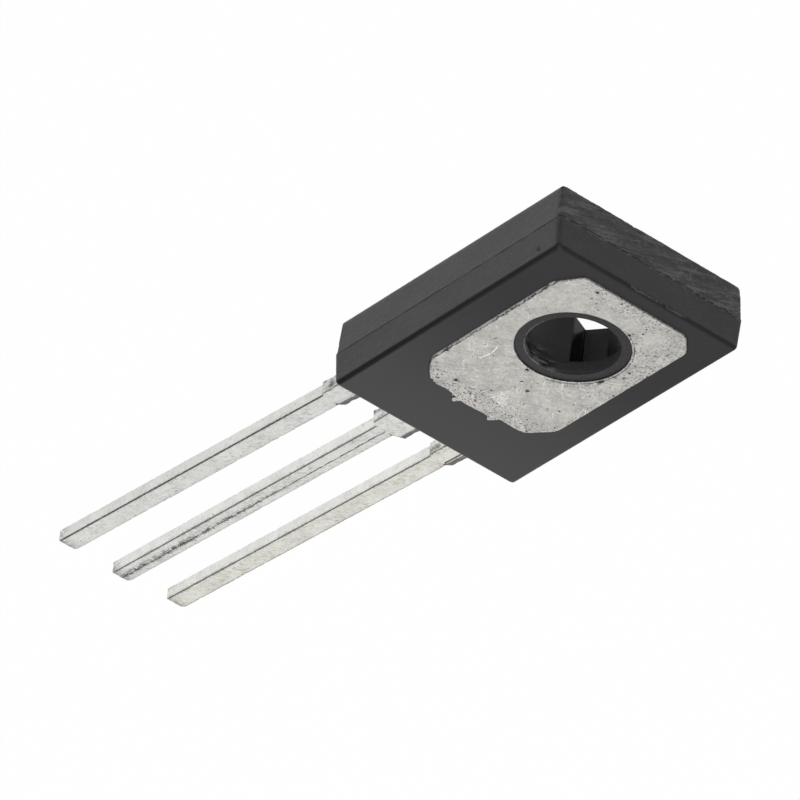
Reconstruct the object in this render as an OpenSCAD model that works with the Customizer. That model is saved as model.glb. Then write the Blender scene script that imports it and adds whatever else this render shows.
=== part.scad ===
// NPN power transistor in a flat moulded package with an exposed mounting tab and three
// in-line leads. Millimetres.
//
// Frame: the origin is on the axis of the screw hole, in the plane of the tab's mounting face.
// +Z points out of that face, +Y towards the end without leads, and the leads run towards -Y.
// The part lies on its front face, which is the lower one.

/* [Moulding] */
// Width across the parting line
body_w = 7.7; // [7:0.02:9.4]
// Length along the parting line
body_l = 10.98; // [10:0.02:13.4]
// Thickness, from the tab's mounting face to the front face
body_t = 2.53; // [2.2:0.01:3.2]
// Depth of the parting line below the mounting face
parting_depth = 1.25; // [1.1:0.01:1.5]
// Draft of the side walls, in degrees
draft = 3; // [1:0.5:8]
// Rounding of the long edges round both faces
edge_round = 0.12; // [0.04:0.02:0.2]
// Radius of the upright corners
corner_r = 0.1; // [0.05:0.01:0.4]
// Radius of the upright corners of the front half at the gate end
gate_corner_r = 0.14; // [0.05:0.01:0.6]
// Distance from the screw hole's axis to the gate end, at the parting line
hole_to_end = 3.715; // [3.4:0.005:4.7]
// Sideways offset of the moulding from the leadframe's centreline
mould_offset = -0.05; // [-0.25:0.01:0.25]
// How far the front half is set back at the lead end
front_setback = 0.05; // [0:0.01:0.25]
// How far the flash stands out of the parting line
flash_out = 0.02; // [0.01:0.01:0.08]
// Radius of the flash at the upright corners, where it has broken off
flash_corner_r = 0.22; // [0.1:0.01:0.4]
// Thickness of the flash
flash_t = 0.05; // [0.02:0.01:0.1]
// How far the tab's mounting face stands proud of the moulding
tab_proud = 0.07; // [0.01:0.01:0.1]

/* [Screw hole] */
// Diameter of the hole in the moulded liner
hole_d = 3.06; // [2.6:0.02:3.4]
// Diameter of the hole in the tab, round the liner
tab_hole_d = 3.76; // [3.6:0.01:4.6]
// Diameter of the tapered hole below the liner
lower_hole_d = 3.2; // [2.7:0.02:3.6]
// Draft of the tapered hole, in degrees
hole_draft = 3.5; // [0.5:0.5:6]
// Width of the winged pocket in the front face, across the hole
pocket_w = 4.52; // [4.1:0.02:4.8]
// Height of the pocket at its shoulders, along the part
pocket_h = 3.4; // [3:0.02:3.8]
// Distance between the shoulders, across the part
shoulder_w = 3.62; // [3:0.02:3.9]
// Length of the pocket's flat end walls
pocket_end_l = 2.14; // [1.4:0.02:2.6]
// Slope of the wings' side walls towards the hole, in degrees
wing_slope = 24; // [10:1:35]
// Thickness of the epoxy left between the pocket and the tab
pocket_roof_t = 0.15; // [0.1:0.01:0.4]

/* [Leadframe] */
// Thickness of the copper sheet
metal_t = 0.48; // [0.38:0.01:0.58]
// Width of the tab's exposed face
tab_w = 5.4; // [4.9:0.05:6]
// Length of the tab's exposed face
tab_l = 7.75; // [7.1:0.05:8.4]
// Distance from the screw hole's axis to the tab's end
hole_to_tab_end = 3.075; // [2.6:0.005:3.4]
// Cut-off corners of the tab, across the part
tab_corner_x = 0.6; // [0.2:0.05:0.9]
// Cut-off corners of the tab, along the part
tab_corner_y = 0.8; // [0.2:0.05:1.2]
// Width of the coined ledge that locks the tab into the moulding
ledge_w = 0.3; // [0.1:0.05:0.4]
// Thickness of that ledge
ledge_t = 0.2; // [0.1:0.02:0.3]
// Width of the neck that joins the tab to the middle lead
neck_w = 1.47; // [1:0.01:1.8]
// Flat run of the neck before it bends down
neck_flat = 0.1; // [0:0.01:0.3]
// Slope of the neck, in degrees
neck_slope = 45; // [30:1:60]
// Length of the ears beside the neck
ear_l = 0.36; // [0.1:0.02:0.4]
// Width of those ears
ear_w = 0.38; // [0.2:0.02:0.5]

/* [Leads] */
// Distance from lead to lead
lead_pitch = 2.29; // [1.95:0.01:2.75]
// Width of a lead
lead_w = 0.72; // [0.55:0.01:0.9]
// Length of the leads outside the moulding
lead_l = 15.28; // [8:0.02:19]
// Width of the outer leads at the sheared dam bar
outer_stub_w = 0.96; // [0.75:0.01:1.2]
// Width of the middle lead at the sheared dam bar
middle_stub_w = 1.36; // [0.9:0.01:1.56]
// Length of the wide roots outside the moulding
stub_l = 1.96; // [1.2:0.02:2.5]
// Length of the step from the wide root to the lead
stub_step = 0.12; // [0.02:0.01:0.5]
// Downward bend of the leads, in degrees
lead_droop = 1.72; // [0:0.02:2]
// Sideways bend of the leads, in degrees
lead_swing = -1.18; // [-1.7:0.02:1.7]
// Rolled edge at the sheared lead tips
tip_roll = 0.04; // [0.02:0.01:0.2]

/* [Die and wires] */
// Side of the square die
die_w = 2; // [1.4:0.05:2.4]
// Thickness of the die
die_t = 0.25; // [0.15:0.01:0.32]
// Thickness of the solder under the die
solder_t = 0.04; // [0.02:0.01:0.08]
// How far the solder reaches past the die
solder_margin = 0.08; // [0.02:0.01:0.2]
// Diameter of the base wire
base_wire_d = 0.15; // [0.1:0.01:0.2]
// Diameter of the emitter wire
emitter_wire_d = 0.25; // [0.15:0.01:0.3]
// Rise of the wires' arcs over their chords
wire_rise = 0.72; // [0.6:0.01:0.85]
// Width of the bonding posts of the outer leads
post_w = 1.3; // [1:0.05:1.56]
// Length of the bonding posts
post_l = 1; // [0.8:0.05:1.2]

/* [Hidden] */
$fn = 96;
epoxy = "#3f3f41";
tinned = "#bfbdb8";
silicon = "#5c6470";
solder = "#a7a9ab";
aluminium = "#d5d6d8";
corner_steps = 4;
edge_steps = 3;
far = 30;
// Signs along X: the base lead lies at -X and the emitter lead at +X
base_side = -1;
emitter_side = 1;
// What each lead adds to the common length and, in degrees, to the common sideways bend
base_trim = [-0.01, -0.16];
middle_trim = [0.12, 0.23];
emitter_trim = [-0.04, -0.06];
// Places along Z
front_z = -body_t;
face_z = -tab_proud;
parting_z = -parting_depth;
tab_bottom_z = -metal_t;
lead_top_z = parting_z;
lead_bottom_z = lead_top_z - metal_t;
die_top_z = tab_bottom_z - solder_t;
die_bottom_z = die_top_z - die_t;
pocket_z = tab_bottom_z - pocket_roof_t;
// Places along Y
gate_y = hole_to_end;
root_y = hole_to_end - body_l;
body_y = (gate_y + root_y) / 2;
tab_far_y = hole_to_tab_end;
tab_near_y = hole_to_tab_end - tab_l;
die_y = (tab_near_y - tab_hole_d / 2) / 2;
bend_y = tab_near_y - neck_flat;
neck_run = (lead_bottom_z - tab_bottom_z) / -tan(neck_slope);
kink_y = root_y - 0.3;
post_near_y = root_y + 0.75;
post_far_y = post_near_y + post_l;
// Where the wires are bonded, as distances from the centreline
bond_x = die_w * 0.24;
bond_y = die_y - die_w * 0.24;

// ---- Shared forms -------------------------------------------------------------------------

// Outline of a rectangle with one radius per corner, anticlockwise from the +X +Y corner
function rounded_rect(w, l, radii) = [
    for (q = [0:3])
        for (i = [0:corner_steps])
            let (a = 90 * (q + i / corner_steps),
                 sx = q == 0 || q == 3 ? 1 : -1,
                 sy = q < 2 ? 1 : -1)
            [sx * (w / 2 - radii[q]) + radii[q] * cos(a), sy * (l / 2 - radii[q]) + radii[q] * sin(a)]
];

// Solid through a stack of outlines, given as [outline, z] from the lowest up
module loft(rings) {
    n = len(rings[0][0]);
    last = (len(rings) - 1) * n;
    points = [for (r = rings) for (p = r[0]) [p.x, p.y, r[1]]];
    walls = [
        for (k = [0:len(rings) - 2])
            for (i = [0:n - 1])
                let (j = (i + 1) % n)
                [k * n + i, (k + 1) * n + i, (k + 1) * n + j, k * n + j]
    ];
    floor_face = [[for (i = [0:n - 1]) i]];
    roof_face = [[for (i = [0:n - 1]) last + n - 1 - i]];
    polyhedron(points, concat(floor_face, walls, roof_face));
}

// Strip of the leadframe: its plan is a list of [y, half width] stations about a centreline
// that swings aside past the kink, and its side view is an outline of [y, z] points
module strip(centre_x, stations, side, trim) {
    function middle(y) = centre_x + (y < kink_y ? (kink_y - y) * tan(lead_swing + trim[1]) : 0);
    right = [for (s = stations) [middle(s[0]) + s[1], s[0]]];
    left = [for (i = [len(stations) - 1:-1:0]) [middle(stations[i][0]) - stations[i][1], stations[i][0]]];
    intersection() {
        translate([0, 0, -far / 2]) linear_extrude(far) polygon(concat(right, left));
        translate([-far / 2, 0, 0])
            rotate([90, 0, 90])
                linear_extrude(far) polygon(side);
    }
}

// Side view of a lead from its kink to its rolled tip, along the top and back below
function lead_side(tip_y) =
    let (drop = (kink_y - tip_y) * tan(lead_droop))
    [
        [kink_y, lead_top_z],
        [tip_y + tip_roll, lead_top_z - drop + tip_roll * tan(lead_droop)],
        [tip_y, lead_top_z - drop - tip_roll],
        [tip_y, lead_bottom_z - drop],
        [kink_y, lead_bottom_z]
    ];

// Plan stations of a lead outside the moulding, from its root to its tip
function lead_plan(stub_w, tip_y) = [
    [root_y - stub_l, stub_w / 2],
    [root_y - stub_l - stub_step, lead_w / 2],
    [tip_y, lead_w / 2]
];

function tip_y(trim) = root_y - lead_l - trim[0];

// ---- Moulding -----------------------------------------------------------------------------

// Insets and heights of one mould half, from the parting line to the rounded edge of its face
function half_profile(height) =
    let (wall = height - edge_round)
    concat(
        [[0, 0]],
        [for (i = [0:edge_steps])
            let (a = 90 * i / edge_steps)
            [wall * tan(draft) + edge_round * (1 - cos(a)), wall + edge_round * sin(a)]]
    );

function half_rings(length, height, radii, up) =
    let (profile = half_profile(height), n = len(profile))
    [for (k = [0:n - 1])
        let (p = profile[up > 0 ? k : n - 1 - k])
        [rounded_rect(body_w - 2 * p[0], length - 2 * p[0], radii), parting_z + up * p[1]]];

module mould_halves() {
    plain = [corner_r, corner_r, corner_r, corner_r];
    gate = [gate_corner_r, gate_corner_r, corner_r, corner_r];
    broken = [flash_corner_r, flash_corner_r, flash_corner_r, flash_corner_r];
    translate([mould_offset, body_y, 0]) {
        loft(half_rings(body_l, face_z - parting_z, plain, 1));
        translate([0, front_setback / 2, 0])
            loft(half_rings(body_l - front_setback, parting_z - front_z, gate, -1));
        translate([0, 0, parting_z - flash_t])
            linear_extrude(flash_t)
                polygon(rounded_rect(body_w + 2 * flash_out, body_l + 2 * flash_out, broken));
    }
}

// One side of the pocket's outline, from one end wall over the narrow waist to the other
function pocket_side(side) =
    let (
        end = [pocket_w / 2, pocket_end_l / 2],
        shoulder = [shoulder_w / 2, pocket_h / 2],
        waist = shoulder.y - shoulder.x * tan(wing_slope)
    )
    [for (p = [end, shoulder, [0, waist], [-shoulder.x, shoulder.y], [-end.x, end.y]]) side * p];

// The liner's straight bore, the tapered hole below it and the winged pocket from the front
module screw_hole() {
    lower_r = lower_hole_d / 2;
    mouth_r = lower_r + (body_t - metal_t) * tan(hole_draft);
    translate([0, 0, tab_bottom_z]) cylinder(h = metal_t + 1, d = hole_d);
    translate([0, 0, front_z]) cylinder(h = body_t - metal_t, r1 = mouth_r, r2 = lower_r);
    translate([0, 0, front_z - 1])
        linear_extrude(pocket_z - front_z + 1) polygon(concat(pocket_side(1), pocket_side(-1)));
}

module body_moulding() {
    color(epoxy)
        difference() {
            mould_halves();
            screw_hole();
            collector_tab();
            base_lead();
            emitter_lead();
            die_attach();
            silicon_die();
            base_wire();
            emitter_wire();
        }
}

// ---- Leadframe ----------------------------------------------------------------------------

// Outline of the tab's exposed face, with every edge moved out by grow
function tab_outline(grow) =
    let (
        x = tab_w / 2 + grow,
        y1 = tab_far_y + grow,
        y0 = tab_near_y - grow,
        cx = tab_corner_x + grow * 0.4,
        cy = tab_corner_y + grow * 0.4
    )
    [[x, y0 + cy], [x, y1 - cy], [x - cx, y1], [-x + cx, y1], [-x, y1 - cy], [-x, y0 + cy],
     [-x + cx, y0], [x - cx, y0]];

// Pointed ears of the tab on both sides of the neck
module ears() {
    for (side = [-1, 1])
        scale([side, 1, 1])
            polygon([
                [neck_w / 2 - 0.05, tab_near_y + 0.05],
                [neck_w / 2 + ear_w, tab_near_y + 0.05],
                [neck_w / 2 + ear_w, tab_near_y],
                [neck_w / 2 + 0.05, tab_near_y - ear_l],
                [neck_w / 2 - 0.05, tab_near_y - ear_l]
            ]);
}

module tab_plate() {
    translate([0, 0, tab_bottom_z])
        linear_extrude(metal_t) {
            polygon(tab_outline(0));
            ears();
        }
    translate([0, 0, tab_bottom_z]) linear_extrude(ledge_t) polygon(tab_outline(ledge_w));
}

// The neck steps down from the tab to the lead plane, and goes on as the middle lead
module middle_lead() {
    tip = tip_y(middle_trim);
    miter = metal_t * tan(neck_slope / 2);
    foot_y = bend_y - neck_run;
    outside = lead_side(tip);
    side = concat(
        [[tab_near_y + 0.6, 0], [bend_y, 0], [foot_y, lead_top_z]],
        outside,
        [[foot_y + miter, lead_bottom_z], [bend_y + miter, tab_bottom_z], [tab_near_y + 0.6, tab_bottom_z]]
    );
    stations = concat(
        [[tab_near_y + 0.6, neck_w / 2], [foot_y, neck_w / 2], [root_y + 0.1, middle_stub_w / 2]],
        lead_plan(middle_stub_w, tip)
    );
    strip(0, stations, side, middle_trim);
}

module collector_tab() {
    color(tinned)
        difference() {
            union() {
                tab_plate();
                middle_lead();
            }
            translate([0, 0, tab_bottom_z - 1]) cylinder(h = metal_t + 2, d = tab_hole_d);
        }
}

// An outer lead with the bonding post that its inner end carries inside the moulding
module outer_lead(side, trim) {
    tip = tip_y(trim);
    profile = concat([[post_far_y, lead_top_z]], lead_side(tip), [[post_far_y, lead_bottom_z]]);
    stations = concat(
        [
            [post_far_y, post_w / 2],
            [post_near_y, post_w / 2],
            [post_near_y, lead_w / 2],
            [root_y + 0.4, lead_w / 2],
            [root_y + 0.3, outer_stub_w / 2]
        ],
        lead_plan(outer_stub_w, tip)
    );
    strip(side * lead_pitch, stations, profile, trim);
}

module base_lead() {
    color(tinned) outer_lead(base_side, base_trim);
}

module emitter_lead() {
    color(tinned) outer_lead(emitter_side, emitter_trim);
}

// ---- Die and wires ------------------------------------------------------------------------

module die_attach() {
    w = die_w + 2 * solder_margin;
    color(solder) translate([-w / 2, die_y - w / 2, die_top_z]) cube([w, w, solder_t]);
}

module silicon_die() {
    color(silicon) translate([-die_w / 2, die_y - die_w / 2, die_bottom_z]) cube([die_w, die_w, die_t]);
}

// A wire arcs under the die's face to the lower face of its post, and ends in flattened feet
module bond_wire(side, d) {
    start = [side * bond_x, bond_y];
    end = [side * lead_pitch, (post_far_y + post_near_y) / 2];
    run = norm(end - start);
    fall = die_bottom_z - lead_bottom_z;
    chord = norm([run, fall]);
    r = (chord * chord / 4 + wire_rise * wire_rise) / (2 * wire_rise);
    tilt = atan2(-fall, run);
    half = asin(chord / 2 / r);
    centre = [run / 2, -fall / 2] + (r - wire_rise) * [-sin(tilt), cos(tilt)];
    foot = [3 * d, 1.4 * d, 0.5 * d];
    difference() {
        translate([start.x, start.y, die_bottom_z])
            rotate([0, 0, atan2(end.y - start.y, end.x - start.x)]) {
                translate([centre.x, 0, centre.y])
                    rotate([90, 0, 0])
                        rotate([0, 0, tilt - 90 - half])
                            rotate_extrude(angle = 2 * half) translate([r, 0]) circle(d = d, $fn = 24);
                translate([-foot.x / 2, -foot.y / 2, -foot.z]) cube(foot);
                translate([run - foot.x / 2, -foot.y / 2, -fall - foot.z]) cube(foot);
            }
        translate([start.x - die_w, start.y - die_w, die_bottom_z]) cube([2 * die_w, 2 * die_w, 1]);
        translate([end.x - post_w, end.y - post_l, lead_bottom_z]) cube([2 * post_w, 2 * post_l, 0.3]);
    }
}

module base_wire() {
    color(aluminium) bond_wire(base_side, base_wire_d);
}

module emitter_wire() {
    color(aluminium) bond_wire(emitter_side, emitter_wire_d);
}

body_moulding();
collector_tab();
base_lead();
emitter_lead();
silicon_die();
die_attach();
base_wire();
emitter_wire();
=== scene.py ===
"""Visual model of a flat moulded power transistor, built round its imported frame.

The frame's origin is on the screw hole's axis in the plane of the tab's mounting face. +Z points
out of that face and the leads run towards -Y. Shapes are worked in millimetres and turned into
metres when a piece is finished.
"""

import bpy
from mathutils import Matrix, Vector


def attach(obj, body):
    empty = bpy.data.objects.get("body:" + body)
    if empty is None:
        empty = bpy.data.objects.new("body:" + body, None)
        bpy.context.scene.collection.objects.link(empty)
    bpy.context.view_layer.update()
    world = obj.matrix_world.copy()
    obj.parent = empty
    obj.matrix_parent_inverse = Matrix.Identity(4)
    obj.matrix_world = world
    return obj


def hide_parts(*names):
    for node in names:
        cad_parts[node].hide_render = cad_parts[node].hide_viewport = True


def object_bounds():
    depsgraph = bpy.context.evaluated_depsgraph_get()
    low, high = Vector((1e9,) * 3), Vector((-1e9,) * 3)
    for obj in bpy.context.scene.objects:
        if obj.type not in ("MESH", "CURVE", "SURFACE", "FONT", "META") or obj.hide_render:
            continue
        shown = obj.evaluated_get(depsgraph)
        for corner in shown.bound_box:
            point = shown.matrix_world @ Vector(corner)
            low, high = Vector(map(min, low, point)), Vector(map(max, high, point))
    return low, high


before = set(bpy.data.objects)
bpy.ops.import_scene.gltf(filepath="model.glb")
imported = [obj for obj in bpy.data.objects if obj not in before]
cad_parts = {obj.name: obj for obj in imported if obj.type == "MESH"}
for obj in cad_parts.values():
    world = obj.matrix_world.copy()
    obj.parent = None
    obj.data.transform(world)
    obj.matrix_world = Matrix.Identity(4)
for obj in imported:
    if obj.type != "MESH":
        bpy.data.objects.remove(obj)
CAD_BOX = [list(corner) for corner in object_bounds()]

import functools
import logging
import math
from dataclasses import dataclass, field
from enum import Enum
from typing import Callable, Iterable, Optional, Sequence, Union

import bmesh
import bpy
from mathutils import Matrix, Vector, noise

MM = 0.001
NEXT_TO_NOTHING = 1e-4
BODY = "root"
LOG = logging.getLogger("transistor")

Triple = tuple[float, float, float]
Colour = Triple
Span = tuple[float, float]
Number = Union[float, int]
Station = tuple[float, float, float, float]  # y, middle x, top z and width of a lead there
BLACK: Colour = (0.0, 0.0, 0.0)


# ---- Shapes -------------------------------------------------------------------------------


class Join(Enum):
    """How one solid is combined with another."""

    UNITE = "UNION"
    CUT = "DIFFERENCE"


def lerp(start: float, end: float, share: float) -> float:
    """Returns the value at a share of the way from start to end."""
    return start + (end - start) * share


def ease(low: float, high: float, value: float) -> float:
    """Returns 0 below low, 1 above high and a smooth step between them."""
    share = min(1.0, max(0.0, (value - low) / (high - low)))
    return share * share * (3 - 2 * share)


def slope(degrees: float) -> float:
    """Returns the rise per length of a slope."""
    return math.tan(math.radians(degrees))


def tone(colour: Colour, by: float) -> Colour:
    """Returns a lighter or darker colour, no brighter than white."""
    return tuple(min(1.0, part * by) for part in colour)


def ripple(place: Sequence[float], size: float, seed: int = 0) -> float:
    """Returns smooth noise from -1 to 1 whose swells are about size wide."""
    return noise.noise(Vector(place) / size + Vector((seed * 17.3, seed * -5.1, seed * 9.7)))


def placed(name: str, data: bpy.types.ID) -> bpy.types.Object:
    """Puts a new object in the scene and returns it.

    Args:
        name: Name of the object.
        data: Its mesh, lamp or camera.

    Returns:
        The object.
    """
    item = bpy.data.objects.new(name, data)
    bpy.context.scene.collection.objects.link(item)
    return item


class Solid:
    """A closed mesh in millimetres that bmesh operators shape."""

    def __init__(self) -> None:
        """Starts an empty mesh."""
        self.mesh = bmesh.new()

    def rectangle(self, width: float, length: float) -> bmesh.types.BMFace:
        """Makes a flat rectangle round the origin and returns its face.

        Args:
            width: Size along X.
            length: Size along Y.

        Returns:
            The face.
        """
        bmesh.ops.create_grid(self.mesh, x_segments=1, y_segments=1, size=0.5)
        self.mesh.faces.ensure_lookup_table()
        self.stretch(self.mesh.faces[0], (width, length))
        return self.mesh.faces[0]

    def polygon(self, corners: Iterable[Span], z: float = 0.0) -> bmesh.types.BMFace:
        """Makes a flat face through a few corners at one height and returns it."""
        verts = [self.mesh.verts.new((x, y, z)) for x, y in corners]
        return self.mesh.faces.new(verts)

    def round_corner(self, near: Span, radius: float, steps: int) -> None:
        """Bevels the corner of a flat face that lies nearest to a point.

        Args:
            near: Point in the face's plane.
            radius: Distance that the bevel takes from each edge.
            steps: Segments of the bevel, one for a straight cut.
        """
        corner = min(self.mesh.verts, key=lambda v: (v.co.x - near[0]) ** 2 + (v.co.y - near[1]) ** 2)
        bmesh.ops.bevel(self.mesh, geom=[corner], offset=radius, offset_type="OFFSET", segments=steps,
                        profile=0.5, affect="VERTICES", material=-1, clamp_overlap=True)

    def divide_outline(self, pace: Callable[[Vector], float]) -> bmesh.types.BMFace:
        """Cuts a flat face's edges into short ones.

        Args:
            pace: Gives the wanted edge length at an edge's middle.

        Returns:
            The face through the finer outline.
        """
        bmesh.ops.delete(self.mesh, geom=self.mesh.faces[:], context="FACES_ONLY")
        for edge in self.mesh.edges[:]:
            middle = (edge.verts[0].co + edge.verts[1].co) / 2
            cuts = math.ceil(edge.calc_length() / pace(middle)) - 1
            if cuts > 0:
                bmesh.ops.subdivide_edges(self.mesh, edges=[edge], cuts=cuts)
        made = bmesh.ops.contextual_create(self.mesh, geom=self.mesh.edges[:])
        return made["faces"][0]

    def extrude(self, face: bmesh.types.BMFace) -> bmesh.types.BMFace:
        """Extrudes a face in place and returns the new face at the same spot.

        Args:
            face: Face to extrude.

        Returns:
            The new face.
        """
        region = [face, *face.edges, *face.verts]
        made = bmesh.ops.extrude_face_region(self.mesh, geom=region)["geom"]
        return next(item for item in made if isinstance(item, bmesh.types.BMFace))

    def lift(self, face: bmesh.types.BMFace, rise: float, scale: Span = (1, 1),
             centre: Span = (0, 0)) -> bmesh.types.BMFace:
        """Extrudes a level face upwards and scales its outline.

        Args:
            face: Level face to extrude.
            rise: Change of height.
            scale: Scale of the new outline along X and Y.
            centre: Point that the outline is scaled about.

        Returns:
            The new face.
        """
        top = self.extrude(face)
        self.push(top.verts[:], (0, 0, rise))
        self.stretch(top, scale, centre)
        return top

    def push(self, verts: Sequence[bmesh.types.BMVert], by: Sequence[float]) -> None:
        """Moves some of the vertices."""
        bmesh.ops.translate(self.mesh, vec=by, verts=verts)

    def stretch(self, face: bmesh.types.BMFace, scale: Span, centre: Span = (0, 0)) -> None:
        """Scales a level face along X and Y about a point."""
        about = Matrix.Translation((-centre[0], -centre[1], 0))
        bmesh.ops.scale(self.mesh, vec=(*scale, 1), space=about, verts=face.verts[:])

    def move(self, by: Sequence[float]) -> "Solid":
        """Moves the whole solid and returns it."""
        self.push(self.mesh.verts[:], by)
        return self

    def displace(self, shift: Callable[[Vector], Vector]) -> "Solid":
        """Moves each vertex by what a function gives for its place, and returns the solid.

        Args:
            shift: Gives a vertex's shift at its place.

        Returns:
            The solid.
        """
        for vert in self.mesh.verts:
            vert.co += shift(vert.co.copy())
        return self

    def face_out(self) -> "Solid":
        """Merges doubles, turns every face outwards and returns the solid."""
        bmesh.ops.remove_doubles(self.mesh, verts=self.mesh.verts[:], dist=1e-6)
        bmesh.ops.recalc_face_normals(self.mesh, faces=self.mesh.faces[:])
        return self

    def as_object(self, name: str, scale: float = 1.0) -> bpy.types.Object:
        """Writes the mesh to a new object in the scene and returns it.

        Args:
            name: Name of the object and its mesh.
            scale: Scale of the written mesh.

        Returns:
            The object.
        """
        data = bpy.data.meshes.new(name)
        bmesh.ops.scale(self.mesh, vec=(scale, scale, scale), verts=self.mesh.verts[:])
        self.mesh.to_mesh(data)
        return placed(name, data)

    def combine(self, other: "Solid", how: Join) -> "Solid":
        """Unites this solid with another or cuts the other from it.

        Args:
            other: The second solid, which stays as it is.
            how: The operation.

        Returns:
            This solid, with the result as its mesh.
        """
        base, tool = self.as_object("base"), other.as_object("tool")
        cutter = base.modifiers.new("join", "BOOLEAN")
        cutter.operation, cutter.object, cutter.solver = how.value, tool, "EXACT"
        bpy.context.view_layer.update()
        result = base.evaluated_get(bpy.context.evaluated_depsgraph_get())
        self.mesh.free()
        self.mesh = bmesh.new()
        self.mesh.from_mesh(result.to_mesh())
        result.to_mesh_clear()
        for item in (base, tool):
            data = item.data
            bpy.data.objects.remove(item)
            bpy.data.meshes.remove(data)
        return self

    def grid_faces(self, chosen: Callable[[bmesh.types.BMFace], bool], pitch: float) -> None:
        """Cuts the chosen flat faces along X and Y into small cells.

        Args:
            chosen: Tells whether a face is one to cut.
            pitch: Width of a cell.
        """
        for axis in range(2):
            faces = [f for f in self.mesh.faces if chosen(f)]
            places = [v.co[axis] for f in faces for v in f.verts]
            start, count = min(places), int((max(places) - min(places)) / pitch)
            normal = Vector((axis == 0, axis == 1, 0))
            for step in range(1, count + 1):
                plane = start + step * pitch
                faces = [f for f in self.mesh.faces if chosen(f)
                         and min(v.co[axis] for v in f.verts) < plane < max(v.co[axis] for v in f.verts)]
                if not faces:
                    continue
                edges = list({e for f in faces for e in f.edges})
                verts = list({v for f in faces for v in f.verts})
                bmesh.ops.bisect_plane(self.mesh, geom=verts + edges + faces, dist=1e-5,
                                       plane_co=normal * plane, plane_no=normal)


def turned(profile: Sequence[Span], steps: int) -> Solid:
    """Spins a profile of (radius, height) points about the Z axis.

    Args:
        profile: Points from the axis round to the axis again.
        steps: Steps of the full turn.

    Returns:
        The turned solid.
    """
    solid = Solid()
    verts = [solid.mesh.verts.new((radius, 0, height)) for radius, height in profile]
    edges = [solid.mesh.edges.new(pair) for pair in zip(verts, verts[1:])]
    bmesh.ops.spin(solid.mesh, geom=verts + edges, cent=(0, 0, 0), axis=(0, 0, 1), dvec=(0, 0, 0),
                   angle=math.tau, steps=steps, use_merge=True, use_normal_flip=False, use_duplicate=False)
    return solid.face_out()


def finished(solid: Solid, name: str, nodes: Sequence[str],
             material: bpy.types.Material, crease: float = 32.0) -> bpy.types.Object:
    """Turns a solid into a piece of the object.

    Args:
        solid: The solid, in millimetres.
        name: Name of the piece.
        nodes: CAD nodes that the piece stands for.
        material: Its material.
        crease: Angle in degrees past which an edge stays sharp.

    Returns:
        The finished object.
    """
    solid.face_out()
    for edge in solid.mesh.edges:
        edge.smooth = edge.is_manifold and edge.calc_face_angle(math.pi) < math.radians(crease)
    for face in solid.mesh.faces:
        face.smooth = True
    piece = solid.as_object(name, MM)
    piece.data.materials.append(material)
    weigh = piece.modifiers.new("flat faces stay flat", "WEIGHTED_NORMAL")
    weigh.mode, weigh.weight, weigh.keep_sharp = "FACE_AREA", 100, True
    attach(piece, BODY)
    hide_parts(*nodes)
    LOG.info("%s: %d faces", name, len(piece.data.polygons))
    return piece


def stain(piece: bpy.types.Object, depth: Callable[[Vector], float]) -> None:
    """Stores how grimy each point of a piece is.

    Args:
        piece: The finished object.
        depth: Gives the grime, 0 to 1, at a place in millimetres.
    """
    layer = piece.data.attributes.new("grime", "FLOAT", "POINT")
    for point, value in zip(piece.data.vertices, layer.data):
        value.value = min(1.0, max(0.0, depth(point.co / MM)))


def chart(piece: bpy.types.Object, place: Callable[[Vector], Vector]) -> None:
    """Stores where each point of a piece lies on its lead.

    Args:
        piece: The finished object.
        place: Gives the distances from the -X side, from the tip and below the top.
    """
    layer = piece.data.attributes.new("lead_place", "FLOAT_VECTOR", "POINT")
    for point, value in zip(piece.data.vertices, layer.data):
        value.vector = place(point.co / MM)


# ---- Shading ------------------------------------------------------------------------------


class Wire:
    """A value in a shader, which Python's operators combine through Math nodes."""

    def __init__(self, shader: "Shader", socket: bpy.types.NodeSocket) -> None:
        """Wraps an output socket of one of the shader's nodes."""
        self.shader, self.socket = shader, socket

    def maths(self, operation: str, *values: "Wire | Number") -> "Wire":
        """Returns a Math node's result for the given values."""
        return self.shader.node("ShaderNodeMath", {"operation": operation}, dict(enumerate(values)))

    def __add__(self, other: "Wire | Number") -> "Wire":
        """Adds."""
        return self.maths("ADD", self, other)

    def __sub__(self, other: "Wire | Number") -> "Wire":
        """Subtracts the other value."""
        return self.maths("SUBTRACT", self, other)

    def __rsub__(self, other: Number) -> "Wire":
        """Subtracts this value from a number."""
        return self.maths("SUBTRACT", other, self)

    def __mul__(self, other: "Wire | Number") -> "Wire":
        """Multiplies."""
        return self.maths("MULTIPLY", self, other)

    def __pow__(self, other: "Wire | Number") -> "Wire":
        """Raises to a power."""
        return self.maths("POWER", self, other)

    __radd__, __rmul__ = __add__, __mul__

    def size(self) -> "Wire":
        """Returns the value without its sign."""
        return self.maths("ABSOLUTE", self)

    def most(self, *others: "Wire | Number") -> "Wire":
        """Returns the largest of this value and the others."""
        return functools.reduce(lambda held, other: self.maths("MAXIMUM", held, other), others, self)

    def step(self, low: float, high: float) -> "Wire":
        """Returns 0 at low, 1 at high and a smooth step between them, in either order."""
        return self.shader.node("ShaderNodeMapRange", {"interpolation_type": "SMOOTHSTEP"},
                                {"Value": self, "From Min": low, "From Max": high})

    def near(self, centre: float, reach: float, core: float) -> "Wire":
        """Returns 1 within core of the centre, which fades to 0 at reach."""
        return (self - centre).size().step(reach, core)


@dataclass(frozen=True)
class Noise:
    """A noise pattern: its swells in millimetres, its detail, its roughness and its turn in degrees."""

    size: Union[float, Triple]
    detail: float = 3.0
    rough: float = 0.55
    turn: Triple = (0, 0, 0)


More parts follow.
